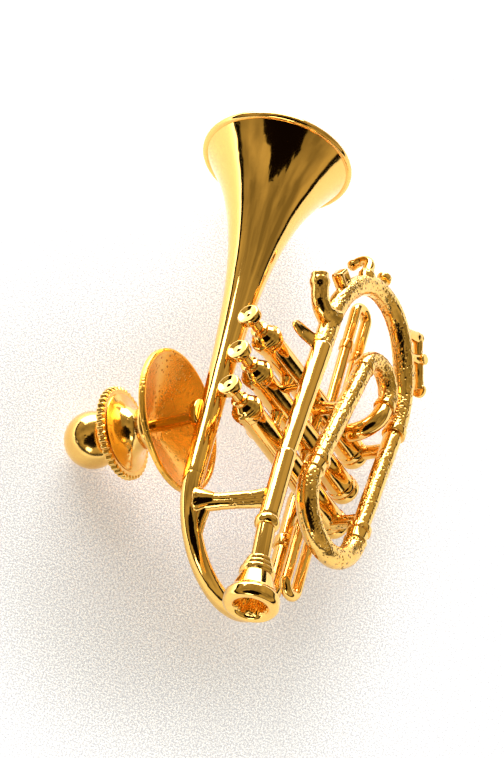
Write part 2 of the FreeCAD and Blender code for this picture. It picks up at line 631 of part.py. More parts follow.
hook_foot = ahead(lead_start, size("lead_length") + size("bow_start")).Base
hook_lean = math.radians(93)
hook, hook_end = tube("hook_body", "0.6", [("line", "0.9"), ("arc", "1.3", "70", -1), ("line", "1.1")],
                      heading(hook_foot, V(0, math.cos(hook_lean), math.sin(hook_lean)), SIDEWAYS))
hook_bead = doc.addObject("Part::Sphere", "hook_bead")
hook_bead.setExpression("Radius", "0.8")
remember(hook_bead, hook_end)
subpart(fitted("hook_cut", joined("hook_pieces", [hook, hook_bead]), [bow]), "finger_hook")
tab_lean = V(-0.217, 0, 0.976)
tab_foot = V(-0.3, 18.5, -0.4)
tab = block("tab_plate", "2.8", "1", "0.42", heading(tab_foot + tab_lean * 1.4, tab_lean, V(0.976, 0, 0.217)))
subpart(fitted("tab_cut", tab, [lead_pipe, bow]), "thumb_tab")

bow_arc_start = ahead(lead_start, size("lead_length") + size("bow_start"))


def on_bow(turn, offset):
    """A placement on the first arc of the front bow, at an angle along it and a distance outside its axis."""
    centre = bow_arc_start.multiply(FreeCAD.Placement(V(0, -size("bow_shoulder"), 0), FreeCAD.Rotation()))
    swung = centre.multiply(FreeCAD.Placement(V(0, 0, 0), FreeCAD.Rotation(V(0, 0, 1), -turn)))
    return swung.multiply(FreeCAD.Placement(V(0, size("bow_shoulder") + offset, 0), FreeCAD.Rotation()))


socket_place = on_bow(24, 1.25)
socket = block("socket_block", "1.2", "1.3", "1.1", socket_place)
socket_hole = block("socket_hole", "0.6", "0.6", "2", socket_place.multiply(
    FreeCAD.Placement(V(0, 0.15, 0), FreeCAD.Rotation())))
subpart(fitted("socket_cut", socket, [bow, socket_hole]), "lyre_socket")
eye_start = V(0, 27.4, -3.7)
eye, eye_end = tube("eye_body", "0.34", [("line", "1.6"), ("arc", "0.8", "110", 1), ("line", "0.6")],
                    heading(eye_start, V(0, 1, 0), UPWARDS))
eye_bead = doc.addObject("Part::Sphere", "eye_bead")
eye_bead.setExpression("Radius", "0.42")
remember(eye_bead, eye_end)
subpart(fitted("eye_cut", joined("eye_pieces", [eye, eye_bead]), [bow]), "finger_eye")
bow_nose_tip = V(-0.3, 28.5 + size("bow_tube") + 0.35, -6.3)
nose_knob = turned("knob_button", [("-0.7", "0"), ("-0.7", "0.3"), ("0", "0.3"), ("0.1", "0.6"), ("0.55", "0.6"),
                                   ("0.7", "0.45"), ("0.7", "0")], heading(bow_nose_tip, V(0, 1, 0)), 0.05, 0.4)
subpart(fitted("knob_button_cut", nose_knob, [bow]), "bow_knob")

# water key under the heel of the front bow
key_front = V(0, 28.6, -12)
key_back = V(0, 24.8, -13.9)
key_line = (key_back - key_front).normalize()
key_inwards = key_line.cross(SIDEWAYS)
key_pivot = key_front + key_line * 1.8
lever_rod = rod("lever_rod", "0.4", key_front, key_back)
lever_pad = turned("lever_pad", [("-0.22", "0"), ("-0.22", "0.6"), ("0.22", "0.6"), ("0.22", "0")],
                   heading(key_back, key_inwards), 0.08)
lever_tip = turned("lever_tip", [("-0.3", "0"), ("-0.3", "0.5"), ("0.3", "0.5"), ("0.3", "0")],
                   heading(key_front, key_inwards), 0.08)
barrel = rod("lever_barrel", "0.44", key_pivot - V(0.7, 0, 0), key_pivot + V(0.7, 0, 0))
lever = subpart(joined("lever_pieces", [lever_rod, lever_pad, lever_tip, barrel]), "water_key_lever")
key_cup = rod("key_cup_rod", "0.46", key_front, key_front + key_inwards * 2.4)
key_saddle = rod("key_saddle_rod", "0.36", key_pivot, key_pivot + key_inwards * 2.5)
key_posts = joined("key_posts", [key_cup, key_saddle])
subpart(fitted("key_posts_cut", key_posts, [bow, lever]), "water_key_posts")

# ---------------------------------------------------------------- pin post and clutch
# Every piece here is turned about the post, with local X running outwards from the bell's axis.
post_z = size("bell_z") + math.tan(math.radians(size("bell_rise"))) * (size("post_y") - size("bell_tail_y"))
post_root = V(size("bell_x"), size("post_y"), post_z)
OUTWARDS = V(-1, -math.tan(math.radians(size("post_lean_back"))), math.tan(math.radians(size("post_lean_up"))))
OUTWARDS.normalize()
post_place = heading(post_root, OUTWARDS)
pad = turned("post_pad_body", [
    ("0.2", "0"), ("0.2", "dims.pad_radius"), ("dims.pad_face - 0.25", "dims.pad_radius"),
    ("dims.pad_face", "dims.pad_radius * 0.8"), ("dims.pad_face", "0")], post_place)
subpart(fitted("post_pad_cut", pad, [bell_shape]), "post_pad")
post = turned("post_body", [
    ("dims.pad_face", "0"), ("dims.pad_face", "dims.post_radius"), ("7.6", "dims.post_radius"),
    ("7.75", "dims.post_radius - 0.08"), ("8.05", "dims.post_radius - 0.08"), ("8.2", "dims.post_radius"),
    ("dims.post_tip - 0.7", "dims.post_radius"), ("dims.post_tip", "0.12"), ("dims.post_tip", "0")], post_place)
subpart(post, "pin_post")
bottom_in = "dims.dish_plane + dims.dish_depth"
dish = turned("dish_body", [
    ("dims.dish_plane", "dims.dish_radius - dims.dish_wall"), ("dims.dish_plane", "dims.dish_radius - 0.12"),
    ("dims.dish_plane + 0.12", "dims.dish_radius"), ("dims.dish_plane + 0.5", "dims.dish_radius"),
    (bottom_in + " + dims.dish_wall", "1.45"), (bottom_in + " + dims.dish_wall", "dims.post_radius + 0.14"),
    (bottom_in, "dims.post_radius + 0.14"), (bottom_in, "1.1")], post_place)
subpart(dish, "clutch_dish")
house_front = bottom_in + " + dims.dish_wall"
seat = "dims.ring_front + 0.25"
housing = turned("housing_body", [
    (house_front, "1.22"), (house_front, "dims.housing_waist + 0.1"), ("5.9", "dims.housing_waist"),
    ("6.4", "dims.housing_waist + 0.06"), ("6.9", "dims.housing_waist + 0.4"),
    ("7.2", "dims.housing_waist + 0.85"), ("dims.ring_front", "dims.housing_flare"),
    ("dims.ring_front", "dims.housing_radius"),
    (seat, "dims.housing_radius"),
    (seat, "dims.housing_radius - dims.housing_wall"), ("6.9", "dims.housing_radius - dims.housing_wall"),
    ("6.9", "1.5")], post_place)
subpart(housing, "clutch_housing")


def make_knurled_ring():
    """A toothed disc with a seat for the housing, a hole for the plunger and a shallow back recess."""
    teeth = int(size("knurl_teeth"))
    tip = size("ring_radius")
    root = tip - size("knurl_depth")
    corners = []
    for step in range(teeth * 4):
        radius = tip if step % 4 < 2 else root
        angle = 2 * math.pi * (step + 0.5) / (teeth * 4)
        corners.append(V(0, radius * math.cos(angle), radius * math.sin(angle)))
    corners.append(corners[0])
    front = size("ring_front")
    width = size("ring_back") - front
    disc = Part.Face(Part.makePolygon(corners)).extrude(V(width, 0, 0))
    disc.translate(V(front, 0, 0))
    along = V(1, 0, 0)
    back_face = size("ring_back") - 0.2
    bevel = Part.makeCone(tip + 0.15, tip - 0.25, width + 0.2, V(front + width / 2, 0, 0), along)
    front_bevel = Part.makeCone(tip + 0.15, tip - 0.25, width + 0.2, V(front + width / 2, 0, 0), V(-1, 0, 0))
    disc = disc.common(bevel.fuse(front_bevel).removeSplitter())
    disc = disc.cut(Part.makeCylinder(size("housing_radius"), 0.25, V(front, 0, 0), along))
    disc = disc.cut(Part.makeCylinder(size("plunger_radius") + 0.06, width, V(front, 0, 0), along))
    disc = disc.cut(Part.makeCylinder(tip - 0.75, 1.0, V(back_face, 0, 0), along))
    return shape_of("knurled_ring_shape", disc, post_place)


subpart(make_knurled_ring(), "clutch_knurled_ring")
balls = []
for number in range(3):
    ball = doc.addObject("Part::Sphere", "grip_ball_%d" % number)
    ball.setExpression("Radius", "dims.grip_ball")
    angle = math.radians(120 * number + 90)
    out = size("post_radius") + size("grip_ball") + 0.02
    local = V(6.0, out * math.cos(angle), out * math.sin(angle))
    balls.append(remember(ball, post_place.multiply(FreeCAD.Placement(local, FreeCAD.Rotation()))))
subpart(joined("grip_ball_set", balls), "grip_balls")
plunger_body = turned("plunger_body", [
    ("5.65", "dims.plunger_bore"), ("9.4", "dims.plunger_bore"), ("9.4", "dims.plunger_radius"),
    ("6.65", "dims.plunger_radius"), ("6.65", "1.3"), ("6.45", "1.3"), ("6.45", "1.1"), ("5.65", "1.1")], post_place)
slots = []
for number in range(3):
    slot_place = post_place.multiply(
        FreeCAD.Placement(V(0, 0, 0), FreeCAD.Rotation(V(1, 0, 0), 120 * number + 90)))
    slots.append(block("plunger_slot_%d" % number, "1.2", "1.4", "dims.grip_ball * 2 + 0.1",
                       slot_place.multiply(FreeCAD.Placement(V(5.82, 1, 0), FreeCAD.Rotation()))))
subpart(fitted("plunger_cut", plunger_body, slots), "clutch_plunger")
knob_ball = doc.addObject("Part::Sphere", "knob_sphere")
knob_ball.setExpression("Radius", "dims.knob_radius")
remember(knob_ball, post_place.multiply(FreeCAD.Placement(V(size("knob_centre"), 0, 0), FreeCAD.Rotation())))
knob_bore = turned("knob_bore", [
    ("7.9", "0"), ("7.9", "dims.plunger_radius"), ("9.4", "dims.plunger_radius"), ("9.4", "dims.plunger_bore"),
    ("11.1", "dims.plunger_bore"), ("11.3", "0")], post_place)
subpart(fitted("knob_cut", knob_ball, [knob_bore]), "clutch_knob")


def make_spring():
    """Two turns of round wire between the plunger's flange and the ring's web."""
    wire = 0.07
    turns = 2
    steps = 20
    start = 6.65 + wire + 0.02
    height = size("ring_front") + 0.25 - start - wire - 0.02
    coil = 1.13
    lead = height / turns / (2 * math.pi * coil)
    coils = []
    for step in range(steps + 1):
        angle = 2 * math.pi * turns * step / steps
        coils.append(V(start + height * step / steps, coil * math.cos(angle), coil * math.sin(angle)))
    line = Part.BSplineCurve()
    line.interpolate(coils)
    circle = Part.Wire(Part.makeCircle(wire, coils[0], V(lead, 0, 1)))
    solid = Part.Wire(line.toShape()).makePipeShell([circle], True, True)
    return shape_of("spring_shape", solid, post_place)


subpart(make_spring(), "clutch_spring")

# ---------------------------------------------------------------- rest pose on the table
doc.recompute()
for obj in doc.Objects:
    if "Invalid" in obj.State or "Error" in obj.State:
        raise RuntimeError("%s is %s" % (obj.Label, obj.State))

lie = FreeCAD.Rotation(V(1, 0, 0), -size("rest_pitch")).multiply(FreeCAD.Rotation(V(0, 1, 0), -size("rest_roll")))
box = FreeCAD.BoundBox()
for obj in subparts:
    posed = obj.Shape.copy()
    posed.Placement = FreeCAD.Placement(V(0, 0, 0), lie).multiply(posed.Placement)
    box.add(posed.optimalBoundingBox(False))
shift = V(-(box.XMin + box.XMax) / 2, -(box.YMin + box.YMax) / 2, -box.ZMin)
rest = FreeCAD.Placement(shift, lie)
for obj, local in leaves:
    obj.Placement = rest.multiply(local)
doc.recompute()

# ---------------------------------------------------------------- checks and files
for obj in doc.Objects:
    if "Invalid" in obj.State or "Error" in obj.State:
        raise RuntimeError("%s is %s" % (obj.Label, obj.State))
broken = [obj.Label for obj in subparts if obj.Shape.isNull() or not obj.Shape.isValid() or not obj.Shape.Solids]
if broken:
    raise RuntimeError("no valid solid: " + ", ".join(broken))
os.makedirs("parts", exist_ok=True)
for obj in subparts:
    obj.Shape.exportStep(os.path.join("parts", obj.Label + ".step"))
print("%d sub-parts, box %.2f x %.2f x %.2f mm" % (len(subparts), box.XLength, box.YLength, box.ZLength))
print("rest shift", rest.Base)
print("post root at rest", rest.multVec(post_root), "post axis", rest.Rotation.multVec(OUTWARDS))
for obj in subparts:
    if len(obj.Shape.Solids) != 1:
        print(obj.Label, "solids", len(obj.Shape.Solids))
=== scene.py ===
import json
import math

import bmesh
import bpy
from mathutils import Matrix, Vector, noise


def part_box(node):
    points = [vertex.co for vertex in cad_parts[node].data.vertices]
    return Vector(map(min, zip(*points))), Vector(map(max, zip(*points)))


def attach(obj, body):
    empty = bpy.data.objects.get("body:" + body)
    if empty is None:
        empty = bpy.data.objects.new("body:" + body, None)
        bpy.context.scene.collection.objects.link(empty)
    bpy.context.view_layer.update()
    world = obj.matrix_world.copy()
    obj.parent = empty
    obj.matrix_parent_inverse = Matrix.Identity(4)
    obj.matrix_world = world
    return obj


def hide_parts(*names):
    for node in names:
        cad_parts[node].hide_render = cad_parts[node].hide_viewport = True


with open("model.json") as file:
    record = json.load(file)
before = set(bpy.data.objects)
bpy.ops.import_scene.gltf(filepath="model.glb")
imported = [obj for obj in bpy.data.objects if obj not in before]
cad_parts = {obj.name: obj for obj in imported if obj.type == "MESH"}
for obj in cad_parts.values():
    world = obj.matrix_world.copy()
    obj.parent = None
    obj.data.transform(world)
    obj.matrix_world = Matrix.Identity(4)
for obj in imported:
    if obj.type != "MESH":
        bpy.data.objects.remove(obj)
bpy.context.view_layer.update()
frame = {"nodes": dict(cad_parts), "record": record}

# ---------------------------------------------------------------- the frame of the instrument
# The cornet lies on its clutch, its bell rim and its return leg. Its own axes are X to the player's
# right, Y to the bell and Z to the finger buttons, with the receiver ring at the origin, in millimetres.
ROLL = math.radians(-48.001)
PITCH = math.radians(-9.498)
LIE = (Matrix.Rotation(PITCH, 3, "X") @ Matrix.Rotation(ROLL, 3, "Y"))
ring_low, ring_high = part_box("receiver_ring")
MM = 0.001
MM_IN_METRE = 1000.0
SHIFT = (Vector(ring_low) + Vector(ring_high)) / 2 * MM_IN_METRE


def turn(v):
    """A direction of the instrument, in the world."""
    return LIE @ Vector(v)


def place(p):
    """A point of the instrument, in metres in the world."""
    return (LIE @ Vector(p) + SHIFT) * MM


# ---------------------------------------------------------------- building meshes
SIDEWAYS = Vector((1, 0, 0))
UPWARDS = Vector((0, 0, 1))
FORWARDS = Vector((0, 1, 0))


def heading(point, along, towards=UPWARDS):
    """A placement whose local X runs along one vector, with local Z near another."""
    x_axis = Vector(along).normalized()
    y_axis = Vector(towards).cross(x_axis)
    if y_axis.length < 1e-6:
        y_axis = FORWARDS.cross(x_axis)
    y_axis.normalize()
    z_axis = x_axis.cross(y_axis)
    return Matrix.Translation(point) @ Matrix((x_axis, y_axis, z_axis)).transposed().to_4x4()


def ahead(spot, distance):
    """A placement moved along its own heading."""
    return spot @ Matrix.Translation((distance, 0, 0))


def onward(spot):
    """The direction in which a placement is heading."""
    return spot.to_3x3() @ SIDEWAYS


def stations(start, runs, step=0.12):
    """Placements along runs of ("line", length) and ("arc", radius, degrees, +1 left or -1 right)."""
    here = start.copy()
    found = [here.copy()]
    for run in runs:
        if run[0] == "line":
            count = max(2, int(run[1] / (step * 2)))
            found += [ahead(here, run[1] * i / count) for i in range(1, count + 1)]
        else:
            _, radius, degrees, side = run
            angle = math.radians(degrees)
            count = max(8, int(radius * angle / step), int(degrees / 4))
            for i in range(1, count + 1):
                bend = angle * i / count
                swing = (radius * math.sin(bend), side * radius * (1 - math.cos(bend)), 0)
                found.append(here @ Matrix.Translation(swing) @ Matrix.Rotation(side * bend, 4, "Z"))
        here = found[-1].copy()
    return found


# Waves and pores to the millimetre.
BROAD_WAVES = 0.55
FINE_WAVES = 1.9
PATCHES = 0.42
BIG_PORES = 3.4
SMALL_PORES = 6.5


def uneven(point, size):
    """How far a hand-polished casting stands proud or shy at a point."""
    broad = noise.noise(point * BROAD_WAVES)
    fine = noise.noise(point * FINE_WAVES + Vector((7, 3, 1)))
    return size * (broad + 0.45 * fine)


def mesh_piece(name, rings, closed_ends=True, loop=False):
    """An object from rings of points, given in millimetres in the instrument frame."""
    mesh = bpy.data.meshes.new(name)
    sides = len(rings[0])
    vertices = [place(point) for ring in rings for point in ring]
    faces = []
    count = len(rings)
    for i in range(count if loop else count - 1):
        low = i * sides
        high = ((i + 1) % count) * sides
        for j in range(sides):
            k = (j + 1) % sides
            faces.append((low + j, low + k, high + k, high + j))
    if closed_ends and not loop:
        faces.append(tuple(reversed(range(sides))))
        faces.append(tuple(range((count - 1) * sides, count * sides)))
    mesh.from_pydata([tuple(v) for v in vertices], [], faces)
    mesh.update()
    work = bmesh.new()
    work.from_mesh(mesh)
    bmesh.ops.recalc_face_normals(work, faces=work.faces)
    for face in work.faces:
        face.smooth = True
    work.to_mesh(mesh)
    work.free()
    obj = bpy.data.objects.new(name, mesh)
    bpy.context.scene.collection.objects.link(obj)
    return obj


def pore(point, depth):
    """How deep the casting's pores are at a point: they come in patches."""
    patch = noise.noise(point * PATCHES + Vector((2, 9, 4)))
    if patch < -0.25:
        return 0.0
    nearest = noise.voronoi(point * BIG_PORES)[0][0]
    small = noise.voronoi(point * SMALL_PORES + Vector((5, 5, 5)))[0][0]
    deep = max(0.0, 1 - nearest / 0.32) + 0.5 * max(0.0, 1 - small / 0.3)
    return depth * min(1.0, deep * 1.8) * min(1.0, (patch + 0.25) * 4)


def round_tube(start, runs, radius, lumps=0.0, sides=40, step=0.12, pits=0.0):
    """Rings of a tube along its runs; radius is a number or a function of (from start, from end)."""
    path = stations(start, runs, step)
    lengths = [0.0]
    for a, b in zip(path, path[1:]):
        lengths.append(lengths[-1] + (b.translation - a.translation).length)
    total = lengths[-1]
    rings = []

    def add_ring(spot, size, shift):
        ring = []
        for j in range(sides):
            angle = 2 * math.pi * j / sides
            arm = spot.to_3x3() @ Vector((0, math.cos(angle), math.sin(angle)))
            centre = spot.translation + onward(spot) * shift
            reach = size
            if lumps:
                reach += uneven(centre + arm * size, lumps)
            if pits:
                reach -= pore(centre + arm * size, pits)
            ring.append(centre + arm * reach)
        rings.append(ring)

    def width(i):
        return radius(lengths[i], total - lengths[i]) if callable(radius) else radius

    edge = min(0.08, width(0) * 0.4)
    for turn_step in (0.0, 0.3, 0.7):
        inset = edge * (1 - math.sin(turn_step * math.pi / 2))
        add_ring(path[0], width(0) - inset, edge * (1 - math.cos(turn_step * math.pi / 2)))
    for i in range(1, len(path) - 1):
        add_ring(path[i], width(i), 0.0)
    for turn_step in (0.7, 0.3, 0.0):
        inset = edge * (1 - math.sin(turn_step * math.pi / 2))
        add_ring(path[-1], width(len(path) - 1) - inset, -edge * (1 - math.cos(turn_step * math.pi / 2)))
    return rings, path[-1]


def rounded(profile, soft):
    """A profile of (along, radius) points with each corner turned into a short curve."""
    points = [Vector((p[0], p[1])) for p in profile]
    made = [points[0]]
    for before, corner, after in zip(points, points[1:], points[2:]):
        back = before - corner
        forth = after - corner
        cut = min(soft, back.length * 0.45, forth.length * 0.45)
        first = corner + back.normalized() * cut
        last = corner + forth.normalized() * cut
        for t in (0.0, 0.2, 0.4, 0.6, 0.8, 1.0):
            made.append(first * (1 - t) ** 2 + corner * 2 * t * (1 - t) + last * t ** 2)
    made.append(points[-1])
    return made


def lathed(spot, profile, soft=0.05, lumps=0.0, sides=72):
    """Rings of a turned form about the placement's local X."""
    rings = []
    for along, radius in rounded(profile, soft) if soft else [Vector((p[0], p[1])) for p in profile]:
        ring = []
        for j in range(sides):
            angle = 2 * math.pi * j / sides
            point = spot @ Vector((along, radius * math.cos(angle), radius * math.sin(angle)))
            if lumps:
                arm = spot.to_3x3() @ Vector((0, math.cos(angle), math.sin(angle)))
                point = point + arm * uneven(point, lumps)
            ring.append(point)
        rings.append(ring)
    return rings


def joined(name, ring_sets, loop=False):
    """One object from several sets of rings."""
    made = []
    for i, rings in enumerate(ring_sets):
        own_name = name if i == 0 else "%s_%d" % (name, i)
        made.append(mesh_piece(own_name, rings, loop=loop))
    if len(made) > 1:
        work = bmesh.new()
        for obj in made:
            work.from_mesh(obj.data)
        for face in work.faces:
            face.smooth = True
        work.to_mesh(made[0].data)
        work.free()
        for obj in made[1:]:
            bpy.data.objects.remove(obj)
    return made[0]


bodies_of = frame["record"]["behaviour"]["bodies"]
node_body = {node: body for body, nodes in bodies_of.items() for node in nodes}
node_slot = {row["node"]: row["material_slot"] for row in frame["record"]["subparts"]}


def stand_for(node, *ring_sets, loop=False):
    """A finely made piece that takes the place of one CAD node."""
    obj = joined("fine_" + node, ring_sets, loop)
    obj.data.materials.append(MATERIALS[LOOKS.get(node, node_slot[node])])
    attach(obj, node_body[node])
    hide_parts(node)
    return obj


def bar(a, b, radius, flare=0.5, reach=0.35, lumps=0.0):
    """Rings of a round bar whose two ends spread into the pieces that it is soldered to."""
    a = Vector(a)
    b = Vector(b)

    def width(from_start, from_end):
        return radius * (1 + flare * math.exp(-from_start / reach) + flare * math.exp(-from_end / reach))

    return round_tube(heading(a, b - a), [("line", (b - a).length)], width, lumps, 28, 0.06)[0]


# ---------------------------------------------------------------- materials
def node_maker(material):
    """A short way to add a node and link its inputs."""
    tree = material.node_tree

    def make(kind, settings=None, **inputs):
        node = tree.nodes.new(kind)
        for name, amount in (settings or {}).items():
            setattr(node, name, amount)
        for name, source in inputs.items():
            numbered = name[0] == "i" and name[1:].isdigit()
            socket = node.inputs[int(name[1:])] if numbered else node.inputs[name]
            if hasattr(source, "is_output"):
                tree.links.new(source, socket)
            else:
                socket.default_value = source
        return node

    return make


def ranged(make, source, low, high, out_low=0.0, out_high=1.0, smooth=False):
    """The stretch from low to high, mapped to out_low to out_high."""
    node = make("ShaderNodeMapRange", {"interpolation_type": "SMOOTHSTEP" if smooth else "LINEAR"}, i0=source)
    for name, amount in (("From Min", low), ("From Max", high), ("To Min", out_low), ("To Max", out_high)):
        node.inputs[name].default_value = amount
    return node.outputs[0]


def noisy(make, source, scale, detail, roughness=0.5):
    """Smooth noise, with scale in waves to the unit of its source."""
    return make("ShaderNodeTexNoise", i0=source, Scale=scale, Detail=detail, Roughness=roughness).outputs[0]


def mixed(make, amount, first, second):
    """A mix of two colours, each given as numbers or as a socket."""
    return make("ShaderNodeMix", {"data_type": "RGBA"}, i0=amount, i6=first, i7=second).outputs[2]


def ramped(make, source, low, low_colour, high, high_colour):
    """A ramp from one colour to another between two levels."""
    node = make("ShaderNodeValToRGB", i0=source)
    for stop, level, colour in zip(node.color_ramp.elements, (low, high), (low_colour, high_colour)):
        stop.position = level
        stop.color = (*colour, 1.0)
    return node.outputs[0]


PORES_PER_METRE = 2600.0
PATCHES_PER_METRE = 700.0
RIPPLES_PER_METRE = 420.0
TONES_PER_METRE = 160.0
PORE_DEPTH = 0.00004
RIPPLE_DEPTH = 0.0001
PORE_DIRT = (0.07, 0.025, 0.005, 1.0)


def gold(name, colour, roughness, pits, ripple, stain=0.0, cover=0.0):
    """Gold plate: pits is how deep the casting's pores are, ripple how uneven its polish is.

    The pores are darker by stain, and cover widens the patches that they come in.
    """
    material = bpy.data.materials.new(name)
    material.use_nodes = True
    tree = material.node_tree
    shader = tree.nodes["Principled BSDF"]
    shader.inputs["Metallic"].default_value = 1.0
    make = node_maker(material)
    here = make("ShaderNodeTexCoord").outputs["Object"]
    cells = make("ShaderNodeTexVoronoi", i0=here, Scale=PORES_PER_METRE).outputs["Distance"]
    between_pores = ranged(make, cells, 0.06, 0.34)
    scatter = noisy(make, here, PATCHES_PER_METRE, 2.0)
    between_patches = ranged(make, scatter, 0.5 - cover, 0.62 - cover, 1.0, 0.0)
    relief = make("ShaderNodeMath", {"operation": "MAXIMUM"}, i0=between_pores, i1=between_patches).outputs[0]
    pored = make("ShaderNodeBump", Strength=pits, Distance=PORE_DEPTH, Height=relief).outputs[0]
    wave = noisy(make, here, RIPPLES_PER_METRE, 3.0)
    rippled = make("ShaderNodeBump", Strength=ripple, Distance=RIPPLE_DEPTH, Height=wave, Normal=pored)
    tree.links.new(rippled.outputs[0], shader.inputs["Normal"])
    tone = noisy(make, here, TONES_PER_METRE, 4.0)
    deeper = (colour[0] * 0.93, colour[1] * 0.88, colour[2] * 0.8, 1.0)
    plate = mixed(make, tone, (*colour, 1.0), deeper)
    darkness = ranged(make, relief, 0.0, 1.0, stain, 0.0)
    tree.links.new(mixed(make, darkness, plate, PORE_DIRT), shader.inputs["Base Color"])
    gloss = ranged(make, tone, 0.0, 1.0, roughness * 0.7, roughness * 1.4)
    tree.links.new(gloss, shader.inputs["Roughness"])
    return material


GOLD = (1.0, 0.63, 0.18)
MATERIALS = {
    "polished_gold": gold("polished_gold", GOLD, 0.07, 0.05, 0.12),
    "cast_gold": gold("cast_gold", GOLD, 0.1, 1.0, 0.55, 0.6, 0.04),
    "rough_gold": gold("rough_gold", GOLD, 0.14, 1.0, 1.0, 1.0, 0.14),
    "dish_gold": gold("dish_gold", (1.0, 0.56, 0.1), 0.24, 1.0, 0.35, 0.4, 0.1),
    "clutch_gold": gold("clutch_gold", GOLD, 0.13, 0.25, 0.12),
    "post_gold": gold("post_gold", GOLD, 0.16, 0.1, 0.1),
    "spring_wire": gold("spring_wire", (0.6, 0.6, 0.62), 0.25, 0.0, 0.0),
    "ball_steel": gold("ball_steel", (0.75, 0.75, 0.77), 0.1, 0.0, 0.0),
}
ROUGH_NODES = ("mid_tube", "small_bow", "tuning_bow", "front_bow", "lower_tube_stays", "mid_tube_stay")
LOOKS = {"clutch_dish": "dish_gold", **{node: "rough_gold" for node in ROUGH_NODES}}
for node, obj in frame["nodes"].items():
    obj.data.materials.clear()
    obj.data.materials.append(MATERIALS[LOOKS.get(node, node_slot[node])])
    for polygon in obj.data.polygons:
        polygon.use_smooth = True


# ---------------------------------------------------------------- bell and crook
BELL_X = -6.5
BELL_Z = 2.1
TAIL_Y = 4.3
BELL_LENGTH = 31.6
RIM = 5.78
THROAT = 0.8
DECAY = 6.57
WALL = 0.38
BORE_DEPTH = 16.0
CAST_WAVE = 0.012
rise = math.radians(1.3)
bell_axis = Vector((0, math.cos(rise), math.sin(rise)))
bell_tail = Vector((BELL_X, TAIL_Y, BELL_Z))
bell_place = heading(bell_tail, bell_axis)


def flare(behind_rim):
    """The bell's outside radius, which grows ever faster towards the rim."""
    return THROAT + (RIM - THROAT) * math.exp(-behind_rim / DECAY)


def bell_profile():
    """The outside from its tongue in the crook to the rim, then the bore down to its blind end."""
    tongue = [(-0.6, 0.4), (-0.6, 0.7), (-0.3, 0.77)]
    outside = [BELL_LENGTH * (1 - (1 - i / 90) ** 1.6) for i in range(91)]
    inside = [BELL_LENGTH - BORE_DEPTH * (i / 60) ** 1.3 for i in range(61)]
    end_x = inside[-1]
    end_r = flare(BELL_LENGTH - end_x) - WALL
    dome = [(end_x - end_r * math.sin(a), end_r * math.cos(a)) for a in (0.4, 0.8, 1.2, 1.55)]
    skin = [(x, flare(BELL_LENGTH - x)) for x in outside]
    bore = [(x, flare(BELL_LENGTH - x) - WALL) for x in inside]
    return tongue + skin + bore + dome


stand_for("bell", lathed(bell_place, bell_profile(), 0.0, CAST_WAVE, 160))
RIM_BEAD = 0.3
bead_middle = RIM - RIM_BEAD * 0.4
bead = [(BELL_LENGTH + RIM_BEAD * math.cos(a), bead_middle + RIM_BEAD * math.sin(a))
        for a in [2 * math.pi * i / 20 for i in range(20)]]
stand_for("bell_rim_bead", lathed(bell_place, bead, 0.0, 0.0, 160), loop=True)

CROOK_TUBE = 0.78
CROOK_RADIUS = 6.6
FERRULE = 0.9


def crook_width(from_start, from_end):
    """The crook is a little wider where it takes the bell's tail."""
    return CROOK_TUBE + 0.05 * math.exp(-from_start / 0.9)


crook_rings, crook_end = round_tube(heading(bell_tail, -bell_axis, SIDEWAYS), [
    ("arc", CROOK_RADIUS, 180, 1), ("line", 3)], crook_width, CAST_WAVE, 64)
# The crook is drawn on over the bell's tongue, so that no end face shows at the joint.
crook_rings = [[p + bell_axis * 0.6 for p in crook_rings[3]]] + crook_rings[3:]
stand_for("bell_crook", crook_rings)


def band(middle, along, radius, length, inner=0.3, soft=0.1):
    """Rings of a solid collar centred on a point."""
    half = length / 2
    section = [(-half, inner), (-half, radius), (half, radius), (half, inner)]
    return lathed(heading(middle, along), section, soft)


stand_for("crook_ferrule", band(ahead(crook_end, FERRULE / 2).translation, onward(crook_end),
                                CROOK_TUBE + 0.16, FERRULE))

# ---------------------------------------------------------------- mouthpiece and receiver
SHANK = 0.74
SHANK_LENGTH = 3.4
MOUTH_LENGTH = 7.9
MOUTH_RIM = 2.2
CUP = 1.32
CUP_DEPTH = 2.2
# Each band: where it starts and ends past the shank, how far it stands out, and the step behind it.
RAISED_BANDS = ((0.0, 0.35, 0.28, 0.16), (0.5, 0.85, 0.46, 0.3), (1.0, 1.4, 0.66, 0.52))
drop = math.radians(6.0)
mouth_axis = Vector((0, -math.cos(drop), -math.sin(drop)))
stand_for("receiver_ring", lathed(heading((0, 0, 0), FORWARDS), [
    (-0.45, 0.3), (-0.45, 0.84), (-0.2, 1.0), (0.2, 1.0), (0.45, 0.84), (0.45, 0.3)], 0.14))
mouth_place = heading((0, 0, 0), mouth_axis)
stand_for("mouthpiece_shank", lathed(mouth_place, [
    (0, 0.2), (0, SHANK), (SHANK_LENGTH, SHANK), (SHANK_LENGTH, 0.2)]))


def mouth_profile():
    """Three raised bands and the rim from the shank on, then down into the cup."""
    raised = []
    for start, end, proud, behind in RAISED_BANDS:
        raised += [(SHANK_LENGTH + start, SHANK + proud), (SHANK_LENGTH + end, SHANK + proud),
                   (SHANK_LENGTH + end + 0.1, SHANK + behind)]
    rim = [(MOUTH_LENGTH - 1.45, MOUTH_RIM * 0.84), (MOUTH_LENGTH - 1.0, MOUTH_RIM),
           (MOUTH_LENGTH - 0.3, MOUTH_RIM), (MOUTH_LENGTH, MOUTH_RIM * 0.88),
           (MOUTH_LENGTH, CUP + 0.2), (MOUTH_LENGTH - 0.2, CUP)]
    cup = [(MOUTH_LENGTH - CUP_DEPTH * deep, CUP * wide)
           for deep, wide in ((0.45, 0.93), (0.8, 0.66), (0.96, 0.34))]
    return [(SHANK_LENGTH, 0.3)] + raised + rim + cup + [(MOUTH_LENGTH - CUP_DEPTH, 0.04)]


